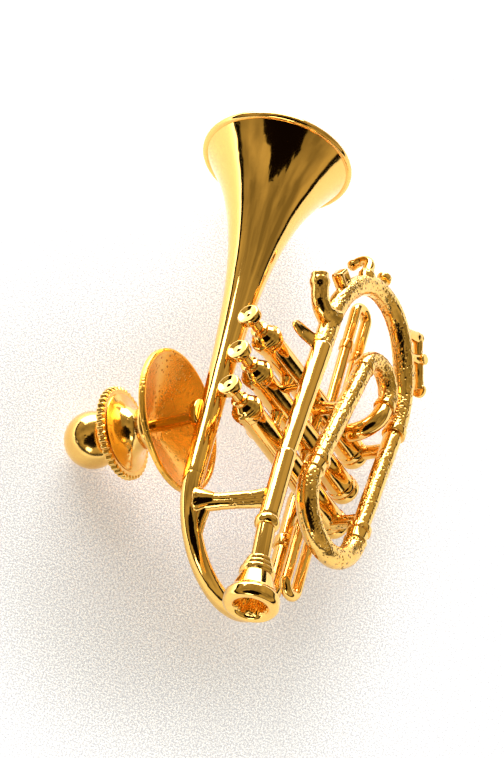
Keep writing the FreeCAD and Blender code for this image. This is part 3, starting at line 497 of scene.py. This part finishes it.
def rough_cup(rings):
    """The rings of the mouthpiece with the inside of its cup left as it was cast."""
    deepest = MOUTH_LENGTH - 0.25
    for ring in rings:
        for i, point in enumerate(ring):
            local = mouth_place.inverted() @ point
            radius = math.hypot(local.y, local.z)
            if radius < CUP * 1.02 and deepest > local.x > MOUTH_LENGTH - CUP_DEPTH - 0.2 and radius > 0.05:
                narrow = 1 - abs(uneven(point * 1.7, 0.5))
                ring[i] = mouth_place @ Vector((local.x, local.y * narrow, local.z * narrow))
    return rings


stand_for("mouthpiece", rough_cup(lathed(mouth_place, mouth_profile(), 0.16, 0.02, 128)))

# ---------------------------------------------------------------- leadpipe, front bow and tuning slide
SLEEVE = 0.8
SLEEVE_END = 7.0
LEAD_LENGTH = 11.4
BOW_TUBE = 0.84
LOW_TUBE = 0.74
TUNING_TUBE = 0.9
TUNING_RADIUS = 3.75
MID_TUBE = 0.78
lead_fall = math.radians(3.6)
LEAD_DROP = 3.6
LOW_RISE = 5.5
MID_DROP = 12.0
BOW_LEAD_IN = 2.8
FIRST_ARC = 9.0
FIRST_BEND = 41.4
NOSE_ARC = 4.45
NOSE_BEND = 95
LAST_ARC = 9.8
LAST_BEND = 180 - FIRST_BEND - NOSE_BEND - LEAD_DROP + LOW_RISE
LOW_LENGTH = 10.2
MID_LENGTH = 11.2
TUNING_SLEEVE = 1.7
SMALL_ARC = 1.95
SMALL_RING = 0.5
RECEIVER_EDGE = 0.45
stand_for("receiver_sleeve", round_tube(heading((0, RECEIVER_EDGE, 0), FORWARDS, SIDEWAYS), [
    ("line", SLEEVE_END - RECEIVER_EDGE)], SLEEVE, 0.01)[0])
LEAD_TUBE = 0.71
LEAD_OVERLAP = 0.3


def lead_width(from_start, from_end):
    """The leadpipe widens evenly from the sleeve to the front bow."""
    return LEAD_TUBE + (BOW_TUBE - LEAD_TUBE) * from_start / LEAD_LENGTH


lead_start = heading((0, SLEEVE_END, 0), (0, math.cos(lead_fall), -math.sin(lead_fall)), SIDEWAYS)
stand_for("leadpipe", round_tube(ahead(lead_start, -LEAD_OVERLAP), [("line", LEAD_LENGTH + LEAD_OVERLAP)],
                                 lead_width, CAST_WAVE)[0])
bow_rings, bow_end = round_tube(ahead(lead_start, LEAD_LENGTH), [
    ("line", BOW_LEAD_IN), ("arc", FIRST_ARC, FIRST_BEND, -1), ("arc", NOSE_ARC, NOSE_BEND, -1),
    ("arc", LAST_ARC, LAST_BEND, -1)], BOW_TUBE, 0.03, 112, 0.05, 0.07)
stand_for("front_bow", bow_rings)
BOW_RING = 0.7
stand_for("bow_ring", band(ahead(bow_end, BOW_RING / 2).translation, onward(bow_end),
                           BOW_TUBE + 0.12, BOW_RING))
low_rings, low_end = round_tube(ahead(bow_end, BOW_RING), [("line", LOW_LENGTH)],
                                LOW_TUBE, 0.02, 72, 0.04, 0.04)
stand_for("lower_tube", low_rings)
sleeve_bands = [(0, 0.3), (0, TUNING_TUBE + 0.08), (0.5, TUNING_TUBE + 0.08), (0.5, TUNING_TUBE - 0.05),
                (1.45, TUNING_TUBE - 0.05), (1.45, TUNING_TUBE + 0.06), (TUNING_SLEEVE, TUNING_TUBE),
                (TUNING_SLEEVE, 0.3)]
tuning_rings, tuning_end = round_tube(ahead(low_end, TUNING_SLEEVE), [
    ("arc", TUNING_RADIUS, 180 - LOW_RISE + MID_DROP, -1)], TUNING_TUBE, 0.03, 112, 0.05, 0.06)
stand_for("tuning_bow", tuning_rings)
mid_start = ahead(tuning_end, TUNING_SLEEVE)
stand_for("tuning_ferrules", lathed(low_end, sleeve_bands),
          lathed(heading(mid_start.translation, -onward(tuning_end)), sleeve_bands))
mid_rings, mid_end = round_tube(mid_start, [("line", MID_LENGTH)], MID_TUBE, 0.025, 88, 0.035, 0.07)
stand_for("mid_tube", mid_rings)
small_rings, small_end = round_tube(ahead(mid_end, SMALL_RING), [("arc", SMALL_ARC, 180, -1)],
                                    MID_TUBE, 0.07, 100, 0.045, 0.12)
stand_for("small_bow", small_rings)
stand_for("small_bow_rings", *[
    band(ahead(end, SMALL_RING / 2).translation, onward(end), MID_TUBE + 0.1, SMALL_RING)
    for end in (mid_end, small_end)])

# ---------------------------------------------------------------- valves and their slides
VALVE_X = -3.2
REAR_Y = 10.3
PITCH_Y = 3.55
CASING = 1.06
CASING_TOP = 1.9
CASING_FOOT = -11.9
CAP = 1.27
CAP_HEIGHT = 1.25
BUTTON = 0.95
BUTTON_HEIGHT = 0.95
BUTTON_TOP = 5.3
STEM = 0.42
SLIDE = 0.46
SLIDE_GAP = 1.65
KNUCKLE_HEIGHTS = (-1.6, -6.4)
FIRST_REACH = 7.8
SECOND_REACH = 2.1
THIRD_REACH = 10.0
middle_y = REAR_Y + PITCH_Y
front_y = REAR_Y + PITCH_Y * 2
slide_high = -9.75 + SLIDE_GAP
tall = CASING_TOP - CASING_FOOT
for number in range(3):
    tag = "_%d" % (number + 1)
    y = REAR_Y + PITCH_Y * number
    foot = Vector((VALVE_X, y, CASING_FOOT))
    head = Vector((VALVE_X, y, CASING_TOP))
    stand_for("valve_casing" + tag, lathed(heading(foot, UPWARDS), [
        (0, 0.3), (0, CASING + 0.1), (0.4, CASING + 0.1), (0.5, CASING), (tall - 0.5, CASING),
        (tall - 0.4, CASING + 0.1), (tall, CASING + 0.1), (tall, 0.3)], 0.05, CAST_WAVE))
    stand_for("valve_top_cap" + tag, lathed(heading(head, UPWARDS), [
        (0, 0.3), (0, CAP), (0.45, CAP), (0.55, CAP * 0.86), (0.85, CAP * 0.78), (1.15, CAP * 0.55),
        (CAP_HEIGHT, CAP * 0.4), (CAP_HEIGHT, 0.1)], 0.1, 0.02))
    stand_for("valve_bottom_cap" + tag, lathed(heading(foot, -UPWARDS), [
        (0, 0.3), (0, CAP * 0.95), (0.5, CAP * 0.95), (0.85, CAP * 0.78), (1.05, CAP * 0.45), (1.1, 0.05)],
        0.12, 0.02))
    stem_height = BUTTON_TOP - CASING_TOP - CAP_HEIGHT - BUTTON_HEIGHT
    stand_for("valve_stem" + tag, lathed(heading(head + UPWARDS * CAP_HEIGHT, UPWARDS), [
        (0, 0.1), (0, STEM * 1.7), (0.3, STEM * 1.7), (0.38, STEM), (stem_height, STEM),
        (stem_height, 0.1)]))
    stand_for("finger_button" + tag, lathed(heading((VALVE_X, y, BUTTON_TOP - BUTTON_HEIGHT), UPWARDS), [
        (0, 0.1), (0, BUTTON * 0.6), (0.2, BUTTON * 0.9), (0.35, BUTTON), (0.8, BUTTON),
        (BUTTON_HEIGHT, BUTTON * 0.9), (0.92, BUTTON * 0.74), (0.86, BUTTON * 0.4), (0.9, 0.02)], 0.12, 0.06))
stand_for("valve_knuckles", *[
    bar((VALVE_X, behind + CASING, z), (VALVE_X, before - CASING, z), SLIDE, 0.3, 0.2)
    for behind, before in ((REAR_Y, middle_y), (middle_y, front_y)) for z in KNUCKLE_HEIGHTS])
ELBOW = 1.75
leg_place = ahead(crook_end, FERRULE)
leg_start = heading(leg_place.translation, onward(leg_place), UPWARDS)
leg_length = middle_y - leg_start.translation.y - ELBOW
stand_for("bell_return_leg", round_tube(leg_start, [
    ("line", leg_length), ("arc", ELBOW, 90, -1), ("line", 0.6)], CROOK_TUBE * 0.93, CAST_WAVE)[0])
small_place = ahead(small_end, SMALL_RING)
small_start = heading(small_place.translation, onward(small_place), UPWARDS)
elbow_line = small_start.translation.y - front_y - ELBOW
stand_for("valve_elbow", round_tube(small_start, [
    ("line", elbow_line), ("arc", ELBOW, 90, -1), ("line", 0.6)], MID_TUBE * 0.95, 0.02)[0])


def u_slide(point, along, towards, reach, side):
    """Rings of a U of tube whose two legs start at a casing."""
    runs = [("line", reach), ("arc", SLIDE_GAP / 2, 180, side), ("line", reach)]
    return round_tube(heading(point, along, towards), runs, SLIDE, CAST_WAVE, 32, 0.08)[0]


stand_for("first_slide", u_slide((VALVE_X, REAR_Y - 0.9, slide_high), -FORWARDS, SIDEWAYS, FIRST_REACH, 1))
stand_for("third_slide", u_slide((VALVE_X, front_y + 0.9, slide_high + 0.5), FORWARDS, SIDEWAYS,
                                 THIRD_REACH, -1))
stand_for("second_slide", u_slide((VALVE_X - 0.9, middle_y, -3.2), -SIDEWAYS, FORWARDS, SECOND_REACH, -1))
stand_for("slide_collars", *[
    band((VALVE_X, y, slide_high + z - SLIDE_GAP * leg), FORWARDS, SLIDE + 0.1, 0.8, 0.2, 0.06)
    for y, z in ((REAR_Y - 3.1, 0), (front_y + 7.4, 0.5)) for leg in range(2)])

# ---------------------------------------------------------------- braces
brace_y = 2.1
crook_height = BELL_Z - CROOK_RADIUS + math.sqrt(CROOK_RADIUS ** 2 - (TAIL_Y - brace_y) ** 2)
brace_left = Vector((BELL_X, brace_y, crook_height))
brace_right = Vector((0, brace_y + 0.6, 0))
brace_line = (brace_right - brace_left).normalized()
web_foot = Vector((BELL_X, TAIL_Y - CROOK_RADIUS * 0.72, BELL_Z - CROOK_RADIUS * 0.31))
second_left = brace_left + Vector((0.3, -0.32, -0.22))
second_right = brace_right + Vector((-0.3, -0.32, -0.1))
BRACE = 0.5
stand_for("bell_brace",
          bar(brace_left, brace_right - brace_line * 0.6, BRACE, 0.4, 0.9, 0.04),
          bar(second_left, second_right, BRACE, 0.4, 0.9, 0.05),
          bar(brace_left + brace_line * 1.3, web_foot, 0.4, 0.6, 1.2, 0.05),
          lathed(heading(brace_left, brace_line), [
              (0.3, 0.1), (0.45, 1.15), (0.9, 1.0), (2.1, 0.55), (2.1, 0.1)], 0.35, 0.08))
stay_y = middle_y + 0.45
stay_z = -math.tan(lead_fall) * (stay_y - SLEEVE_END)
stand_for("casing_stay", bar((VALVE_X + 0.6, stay_y, stay_z), (0, stay_y, stay_z), 0.28, 0.6, 0.4, 0.02))


def side_stay(spot, forward, radius):
    """A stay from a tube of the loop across to the nearest valve casing."""
    return bar(spot, (VALVE_X + 0.5, spot.y + forward, spot.z), radius, 0.5, 0.9, 0.05)


stand_for("mid_tube_stay", side_stay(ahead(mid_start, 6.3).translation, 0.6, 0.44))
stand_for("lower_tube_stays", side_stay(ahead(bow_end, BOW_RING + 1.6).translation, 0.3, 0.45),
          side_stay(ahead(bow_end, BOW_RING + 9.3).translation, 0.3, 0.45))

# ---------------------------------------------------------------- small fittings on the front bow
bow_arc_start = ahead(lead_start, LEAD_LENGTH + BOW_LEAD_IN)
hook_foot = bow_arc_start.translation
hook_lean = math.radians(93)
HOOK_CURL = 1.3
HOOK_HEAD = 0.8


def hook_width(from_foot, from_tip):
    """The hook spreads at its foot and ends in a thick rounded head."""
    head = math.sqrt(max(0.0, HOOK_HEAD ** 2 - (from_tip - 0.75) ** 2)) if from_tip < 1.5 else 0.0
    return max(0.68 + 0.45 * math.exp(-from_foot / 0.8), head)


stand_for("finger_hook", round_tube(
    heading(hook_foot, (0, math.cos(hook_lean), math.sin(hook_lean)), SIDEWAYS),
    [("line", 0.9), ("arc", HOOK_CURL, 70, -1), ("line", 1.85)], hook_width, 0.06, 56, 0.05, 0.05)[0])


def leaf(foot, tip, width, thick, bulge):
    """Rings of a flat tongue that narrows to a rounded tip and bends a little."""
    foot = Vector(foot)
    tip = Vector(tip)
    along = (tip - foot).normalized()
    across = FORWARDS
    depth = along.cross(across).normalized()
    rings = []
    for i in range(25):
        t = i / 24
        centre = foot.lerp(tip, t) + depth * bulge * math.sin(math.pi * t)
        half = width * 0.5 * math.sqrt(max(0.02, 1 - t ** 6)) * (1.25 - 0.25 * min(1, t * 4))
        ring = []
        for j in range(28):
            a = 2 * math.pi * j / 28
            c, d = math.cos(a), math.sin(a)
            point = centre + across * half * math.copysign(abs(c) ** 0.6, c)
            point = point + depth * thick * 0.5 * math.copysign(abs(d) ** 0.8, d)
            ring.append(point + depth * uneven(point, 0.02))
        rings.append(ring)
    return rings


tab_lean = Vector((-0.217, 0, 0.976))
tab_foot = Vector((-0.3, 18.5, -0.4))
TAB_LENGTH = 2.8
stand_for("thumb_tab", leaf(tab_foot, tab_foot + tab_lean * TAB_LENGTH, 1.25, 0.4, 0.1))


def on_bow(degrees, offset):
    """A placement on the first arc of the front bow, a distance outside its axis."""
    centre = bow_arc_start @ Matrix.Translation((0, -FIRST_ARC, 0))
    turned = centre @ Matrix.Rotation(-math.radians(degrees), 4, "Z")
    return turned @ Matrix.Translation((0, FIRST_ARC + offset, 0))


def square_socket(spot, length, height, width, hole):
    """Rings of a small rounded box with a square hole through it from side to side."""
    rings = []
    section = [(-width / 2, 1.0), (-width / 2 + 0.1, 1.14), (width / 2 - 0.1, 1.14), (width / 2, 1.0),
               (width / 2, hole / length), (-width / 2, hole / length)]
    for z, grow in section:
        ring = []
        for j in range(64):
            a = 2 * math.pi * (j + 0.5) / 64
            c, d = math.cos(a), math.sin(a)
            power = 0.25
            x = length / 2 * grow * math.copysign(abs(c) ** power, c)
            y = height / 2 * grow * math.copysign(abs(d) ** power, d)
            ring.append(spot @ Vector((x * 0.88, y * 0.88, z)))
        rings.append(ring)
    return rings


stand_for("lyre_socket", square_socket(on_bow(24, 1.25), 1.2, 1.3, 1.0, 0.62), loop=True)


def eye_width(from_foot, from_tip):
    """The curl is wide at its foot and rounded at its tip."""
    tip = math.sqrt(max(0.0, 0.46 ** 2 - (from_tip - 0.44) ** 2)) if from_tip < 0.9 else 0.0
    wire = 0.4 if from_tip > 0.4 else 0.0
    foot = 0.3 * math.exp(-max(0.0, from_foot - 0.8) / 0.5) if from_tip > 0.8 else 0.0
    return max(wire + foot, tip)


eye_foot = Vector((0, 27.4, -3.7))
EYE_CURL = 0.8
stand_for("finger_eye", round_tube(heading(eye_foot, FORWARDS, UPWARDS), [
    ("line", 1.6), ("arc", EYE_CURL, 110, 1), ("line", 1.0)], eye_width, 0.04, 40, 0.04)[0])
knob_tip = Vector((-0.3, 28.5 + BOW_TUBE + 0.35, -6.3))
stand_for("bow_knob", lathed(heading(knob_tip, FORWARDS), [
    (-0.7, 0.05), (-0.7, 0.3), (0, 0.3), (0.1, 0.6), (0.55, 0.6), (0.7, 0.45), (0.7, 0.05)], 0.1, 0.03, 40))
key_front = Vector((0, 28.6, -12))
key_back = Vector((0, 24.8, -13.9))
key_line = (key_back - key_front).normalized()
key_inwards = key_line.cross(SIDEWAYS)
key_pivot = key_front + key_line * 1.8
stand_for("water_key_lever",
          bar(key_front, key_back, 0.38, 0.3, 0.6, 0.05),
          lathed(heading(key_back, key_inwards), [(-0.22, 0.05), (-0.22, 0.58), (0.22, 0.58), (0.22, 0.05)],
                 0.12, 0.03, 40),
          lathed(heading(key_front, key_inwards), [(-0.3, 0.05), (-0.3, 0.5), (0.3, 0.5), (0.3, 0.05)],
                 0.12, 0.03, 40),
          bar(key_pivot - Vector((0.68, 0, 0)), key_pivot + Vector((0.68, 0, 0)), 0.43, 0, 0.3, 0.03))
stand_for("water_key_posts",
          bar(key_front + key_inwards * 0.25, key_front + key_inwards * 2.1, 0.46, 0.2, 0.4, 0.04),
          bar(key_pivot + key_inwards * 0.25, key_pivot + key_inwards * 2.2, 0.34, 0.4, 0.5, 0.04))

# ---------------------------------------------------------------- pin post and clutch
POST = 0.5
PAD_FACE = 1.35
DISH_PLANE = 2.6
DISH = 5.75
DISH_DEPTH = 2.3
DISH_WALL = 0.32
WAIST = 1.66
KNURL_TIP = 3.7
KNURL_FRONT = 7.45
KNURL_BACK = 8.15
TEETH = 44
TOOTH = 0.2
BALL = 2.27
BALL_CENTRE = 10.45
post_root = Vector((BELL_X, 10.45, BELL_Z + math.tan(rise) * (10.45 - TAIL_Y)))
lean_back = math.tan(math.radians(3.5))
lean_up = math.tan(math.radians(0.8))
post_place = heading(post_root, (-1, -lean_back, lean_up))
stand_for("post_pad", lathed(post_place, [(0.6, 0.1), (0.6, 1.3), (PAD_FACE - 0.25, 1.3), (PAD_FACE, 1.04),
                                          (PAD_FACE, 0.1)], 0.1, 0.03, 48))
stand_for("pin_post", lathed(post_place, [
    (PAD_FACE, 0.05), (PAD_FACE, POST), (7.6, POST), (7.75, POST - 0.08), (8.05, POST - 0.08), (8.2, POST),
    (9.2, POST), (9.9, 0.12), (9.9, 0.02)], 0.06, 0.0, 48))
dish_floor = DISH_PLANE + DISH_DEPTH
stand_for("clutch_dish", lathed(post_place, [
    (dish_floor, POST + 0.14), (dish_floor, 1.1), (DISH_PLANE + 0.12, DISH - DISH_WALL - 0.12),
    (DISH_PLANE, DISH - DISH_WALL), (DISH_PLANE, DISH - 0.12), (DISH_PLANE + 0.12, DISH),
    (DISH_PLANE + 0.5, DISH), (DISH_PLANE + 0.62, DISH - 0.3), (dish_floor + DISH_WALL, 1.6),
    (dish_floor + DISH_WALL, POST + 0.14)], 0.12, CAST_WAVE, 160))
neck = dish_floor + DISH_WALL - 0.12
stand_for("clutch_housing", lathed(post_place, [
    (neck, 1.25), (neck, WAIST + 0.2), (5.9, WAIST), (6.4, WAIST + 0.06), (6.9, WAIST + 0.4),
    (7.2, WAIST + 0.85), (KNURL_FRONT + 0.02, KNURL_TIP - 0.45), (KNURL_FRONT + 0.02, 1.66),
    (6.92, 1.66), (6.92, 1.5)], 0.3, CAST_WAVE, 120))


def knurled(spot, profile, teeth, depth, tip):
    """Rings of a turned disc whose rim is cut into rounded teeth."""
    sides = teeth * 12
    rings = []
    for along, radius in rounded(profile, 0.07):
        ring = []
        for j in range(sides):
            angle = 2 * math.pi * j / sides
            wave = (0.5 - 0.5 * math.cos(teeth * angle)) ** 1.6
            near_rim = max(0.0, min(1.0, (radius - tip + 0.35) / 0.25))
            reach = radius - depth * wave * near_rim
            ring.append(spot @ Vector((along, reach * math.cos(angle), reach * math.sin(angle))))
        rings.append(ring)
    return rings


stand_for("clutch_knurled_ring", knurled(post_place, [
    (KNURL_FRONT + 0.25, 0.98), (KNURL_FRONT + 0.25, 1.9), (KNURL_FRONT + 0.04, 2.0),
    (KNURL_FRONT + 0.03, KNURL_TIP - 0.5),
    (KNURL_FRONT, KNURL_TIP - 0.22), (KNURL_FRONT + 0.1, KNURL_TIP), (KNURL_BACK - 0.1, KNURL_TIP),
    (KNURL_BACK, KNURL_TIP - 0.22), (KNURL_BACK, KNURL_TIP - 0.75), (KNURL_BACK - 0.2, KNURL_TIP - 0.85),
    (KNURL_BACK - 0.2, 0.98)], TEETH, TOOTH, KNURL_TIP))
PLUNGER = 0.92
PLUNGER_BORE = 0.64
stand_for("clutch_plunger", lathed(post_place, [
    (6.45, PLUNGER_BORE), (6.45, 1.3), (6.65, 1.3), (6.65, PLUNGER), (9.4, PLUNGER), (9.4, PLUNGER_BORE)],
    0.04, 0.0, 64))
first_angle = math.asin((PLUNGER + 0.01) / BALL)
ball_arc = []
for i in range(60):
    angle = first_angle + (math.pi - first_angle) * i / 60
    ball_arc.append((BALL_CENTRE - BALL * math.cos(angle), BALL * math.sin(angle)))
ball_arc.append((BALL_CENTRE + BALL, 0.01))
stand_for("clutch_knob", lathed(post_place, [(9.3, PLUNGER + 0.01)] + ball_arc, 0.0, 0.01, 96))


# ---------------------------------------------------------------- camera
TOWARD = Vector((0.4964, -0.6136, 0.6142))
IMAGE_RIGHT = Vector((0.8534, 0.2149, -0.475))
IMAGE_UP = Vector((0.1594, 0.7598, 0.6302))
VIEW_HEIGHT = 57.86
DISTANCE = 900.0
SENSOR = 36.0
aim = IMAGE_RIGHT * -1.145 + IMAGE_UP * 10.99
camera = bpy.data.objects.new("camera", bpy.data.cameras.new("camera"))
bpy.context.scene.collection.objects.link(camera)
right = turn(IMAGE_RIGHT).normalized()
back = turn(TOWARD).normalized()
up = back.cross(right).normalized()
right = up.cross(back)
camera.matrix_world = Matrix.Translation(place(aim + TOWARD * DISTANCE)) @ Matrix(
    (right, up, back)).transposed().to_4x4()
camera.data.sensor_width = SENSOR
camera.data.sensor_height = SENSOR
camera.data.sensor_fit = "AUTO"
camera.data.lens = SENSOR * DISTANCE / VIEW_HEIGHT
camera.data.clip_start = 0.05
camera.data.clip_end = 20.0
bpy.context.scene.camera = camera


# ---------------------------------------------------------------- floor, world and light
GRAINS_PER_METRE = 7200.0


def floor_material():
    """A pale board with a fine glittering grain that glows, with a painted shadow darkening it about the pin
    and painted light brightening its far side.
    """
    material = bpy.data.materials.new("pale_board")
    material.use_nodes = True
    tree = material.node_tree
    shader = tree.nodes["Principled BSDF"]
    shader.inputs["Roughness"].default_value = 0.6
    make = node_maker(material)
    here = make("ShaderNodeTexCoord").outputs["Object"]
    # Painted light: the floor's own glow rises towards its far side, as if a lamp lit it there.
    painted_light_side = Vector(turn(IMAGE_UP * 0.78 - IMAGE_RIGHT * 0.62))
    painted_light_side = Vector((painted_light_side.x, painted_light_side.y, 0)).normalized()
    towards = make("ShaderNodeVectorMath", {"operation": "DOT_PRODUCT"}, i0=here, i1=tuple(painted_light_side))
    lit = ranged(make, towards.outputs[1], 0.016, 0.13, 0.0, 2.2, smooth=True)
    # Painted shadow: the floor glows less, down to 0.42, about this point beside the pin.
    middle = place(aim - IMAGE_RIGHT * 5 - IMAGE_UP * 3)
    distance_to_painted_shadow = make("ShaderNodeVectorMath", {"operation": "DISTANCE"}, i0=here, i1=(middle.x, middle.y, 0.0))
    clear = ranged(make, distance_to_painted_shadow.outputs[1], 0.010, 0.028, 0.42, 0.85, smooth=True)
    painted_floor_glow = make("ShaderNodeMath", {"operation": "ADD"}, i0=lit, i1=clear)
    # The floor glows by emission, which carries its painted light and painted shadow; the grain tints this
    # glow too.
    tree.links.new(painted_floor_glow.outputs[0], shader.inputs["Emission Strength"])
    grain = noisy(make, here, GRAINS_PER_METRE, 2.0)
    tint = ramped(make, grain, 0.45, (0.62, 0.64, 0.70), 0.56, (0.96, 0.98, 1.0))
    tree.links.new(tint, shader.inputs["Base Color"])
    tree.links.new(tint, shader.inputs["Emission Color"])
    bump = make("ShaderNodeBump", Strength=0.5, Distance=0.00008, Height=grain)
    tree.links.new(bump.outputs[0], shader.inputs["Normal"])
    return material


bpy.ops.mesh.primitive_plane_add(size=2.4, location=(0, 0, 0))
floor = bpy.context.object
floor.name = "floor"
floor.data.materials.append(floor_material())


def softbox(name, offset, width, height, radiance):
    """A rectangular lamp aimed at the pin, offset (right, up, towards the camera) in metres."""
    lamp = bpy.data.lights.new(name, "AREA")
    lamp.shape = "RECTANGLE"
    lamp.size = width
    lamp.size_y = height
    lamp.energy = radiance * math.pi * width * height
    holder = bpy.data.objects.new(name, lamp)
    bpy.context.scene.collection.objects.link(holder)
    target = place(aim)
    spot = target + right * offset[0] + up * offset[1] + back * offset[2]
    holder.location = spot
    holder.rotation_euler = (spot - target).to_track_quat("Z", "Y").to_euler()
    return holder


softbox("back_box", (-0.01, 0.47, -0.08), 0.52, 0.30, 9.0)
softbox("front_box", (-0.16, -0.37, 0.45), 0.22, 0.14, 5.0)


def studio():
    """A dim warm room over the table, dark at the horizon and with one dark, ragged patch."""
    sky = bpy.data.worlds.new("studio")
    sky.use_nodes = True
    tree = sky.node_tree
    ground = tree.nodes["Background"]
    make = node_maker(sky)
    way = make("ShaderNodeTexCoord").outputs["Generated"]
    ragged = noisy(make, way, 2.4, 6.0, 0.6)
    height = make("ShaderNodeSeparateXYZ", i0=way).outputs[2]
    shake = make("ShaderNodeMath", {"operation": "MULTIPLY_ADD"}, i0=ragged, i1=0.22, i2=height)
    ceiling = ranged(make, shake.outputs[0], 0.24, 0.30, smooth=True)
    toward_gap = make("ShaderNodeVectorMath", {"operation": "DOT_PRODUCT"}, i0=way, i1=tuple(back))
    torn = make("ShaderNodeMath", {"operation": "MULTIPLY_ADD"}, i0=ragged, i1=0.5, i2=toward_gap.outputs[1])
    outside_gap = ranged(make, torn.outputs[0], 1.11, 1.12, 1.0, 0.0)
    level = make("ShaderNodeMath", {"operation": "MULTIPLY"}, i0=ceiling, i1=outside_gap)
    cloud = noisy(make, way, 1.7, 3.0)
    room = ramped(make, cloud, 0.36, (0.22, 0.175, 0.08), 0.64, (0.58, 0.47, 0.24))
    seen = mixed(make, level.outputs[0], (0.004, 0.002, 0.001, 1.0), room)
    tree.links.new(seen, ground.inputs["Color"])
    ground.inputs["Strength"].default_value = 1.0
    return sky


bpy.context.scene.world = studio()
bpy.context.scene.view_settings.view_transform = "Standard"
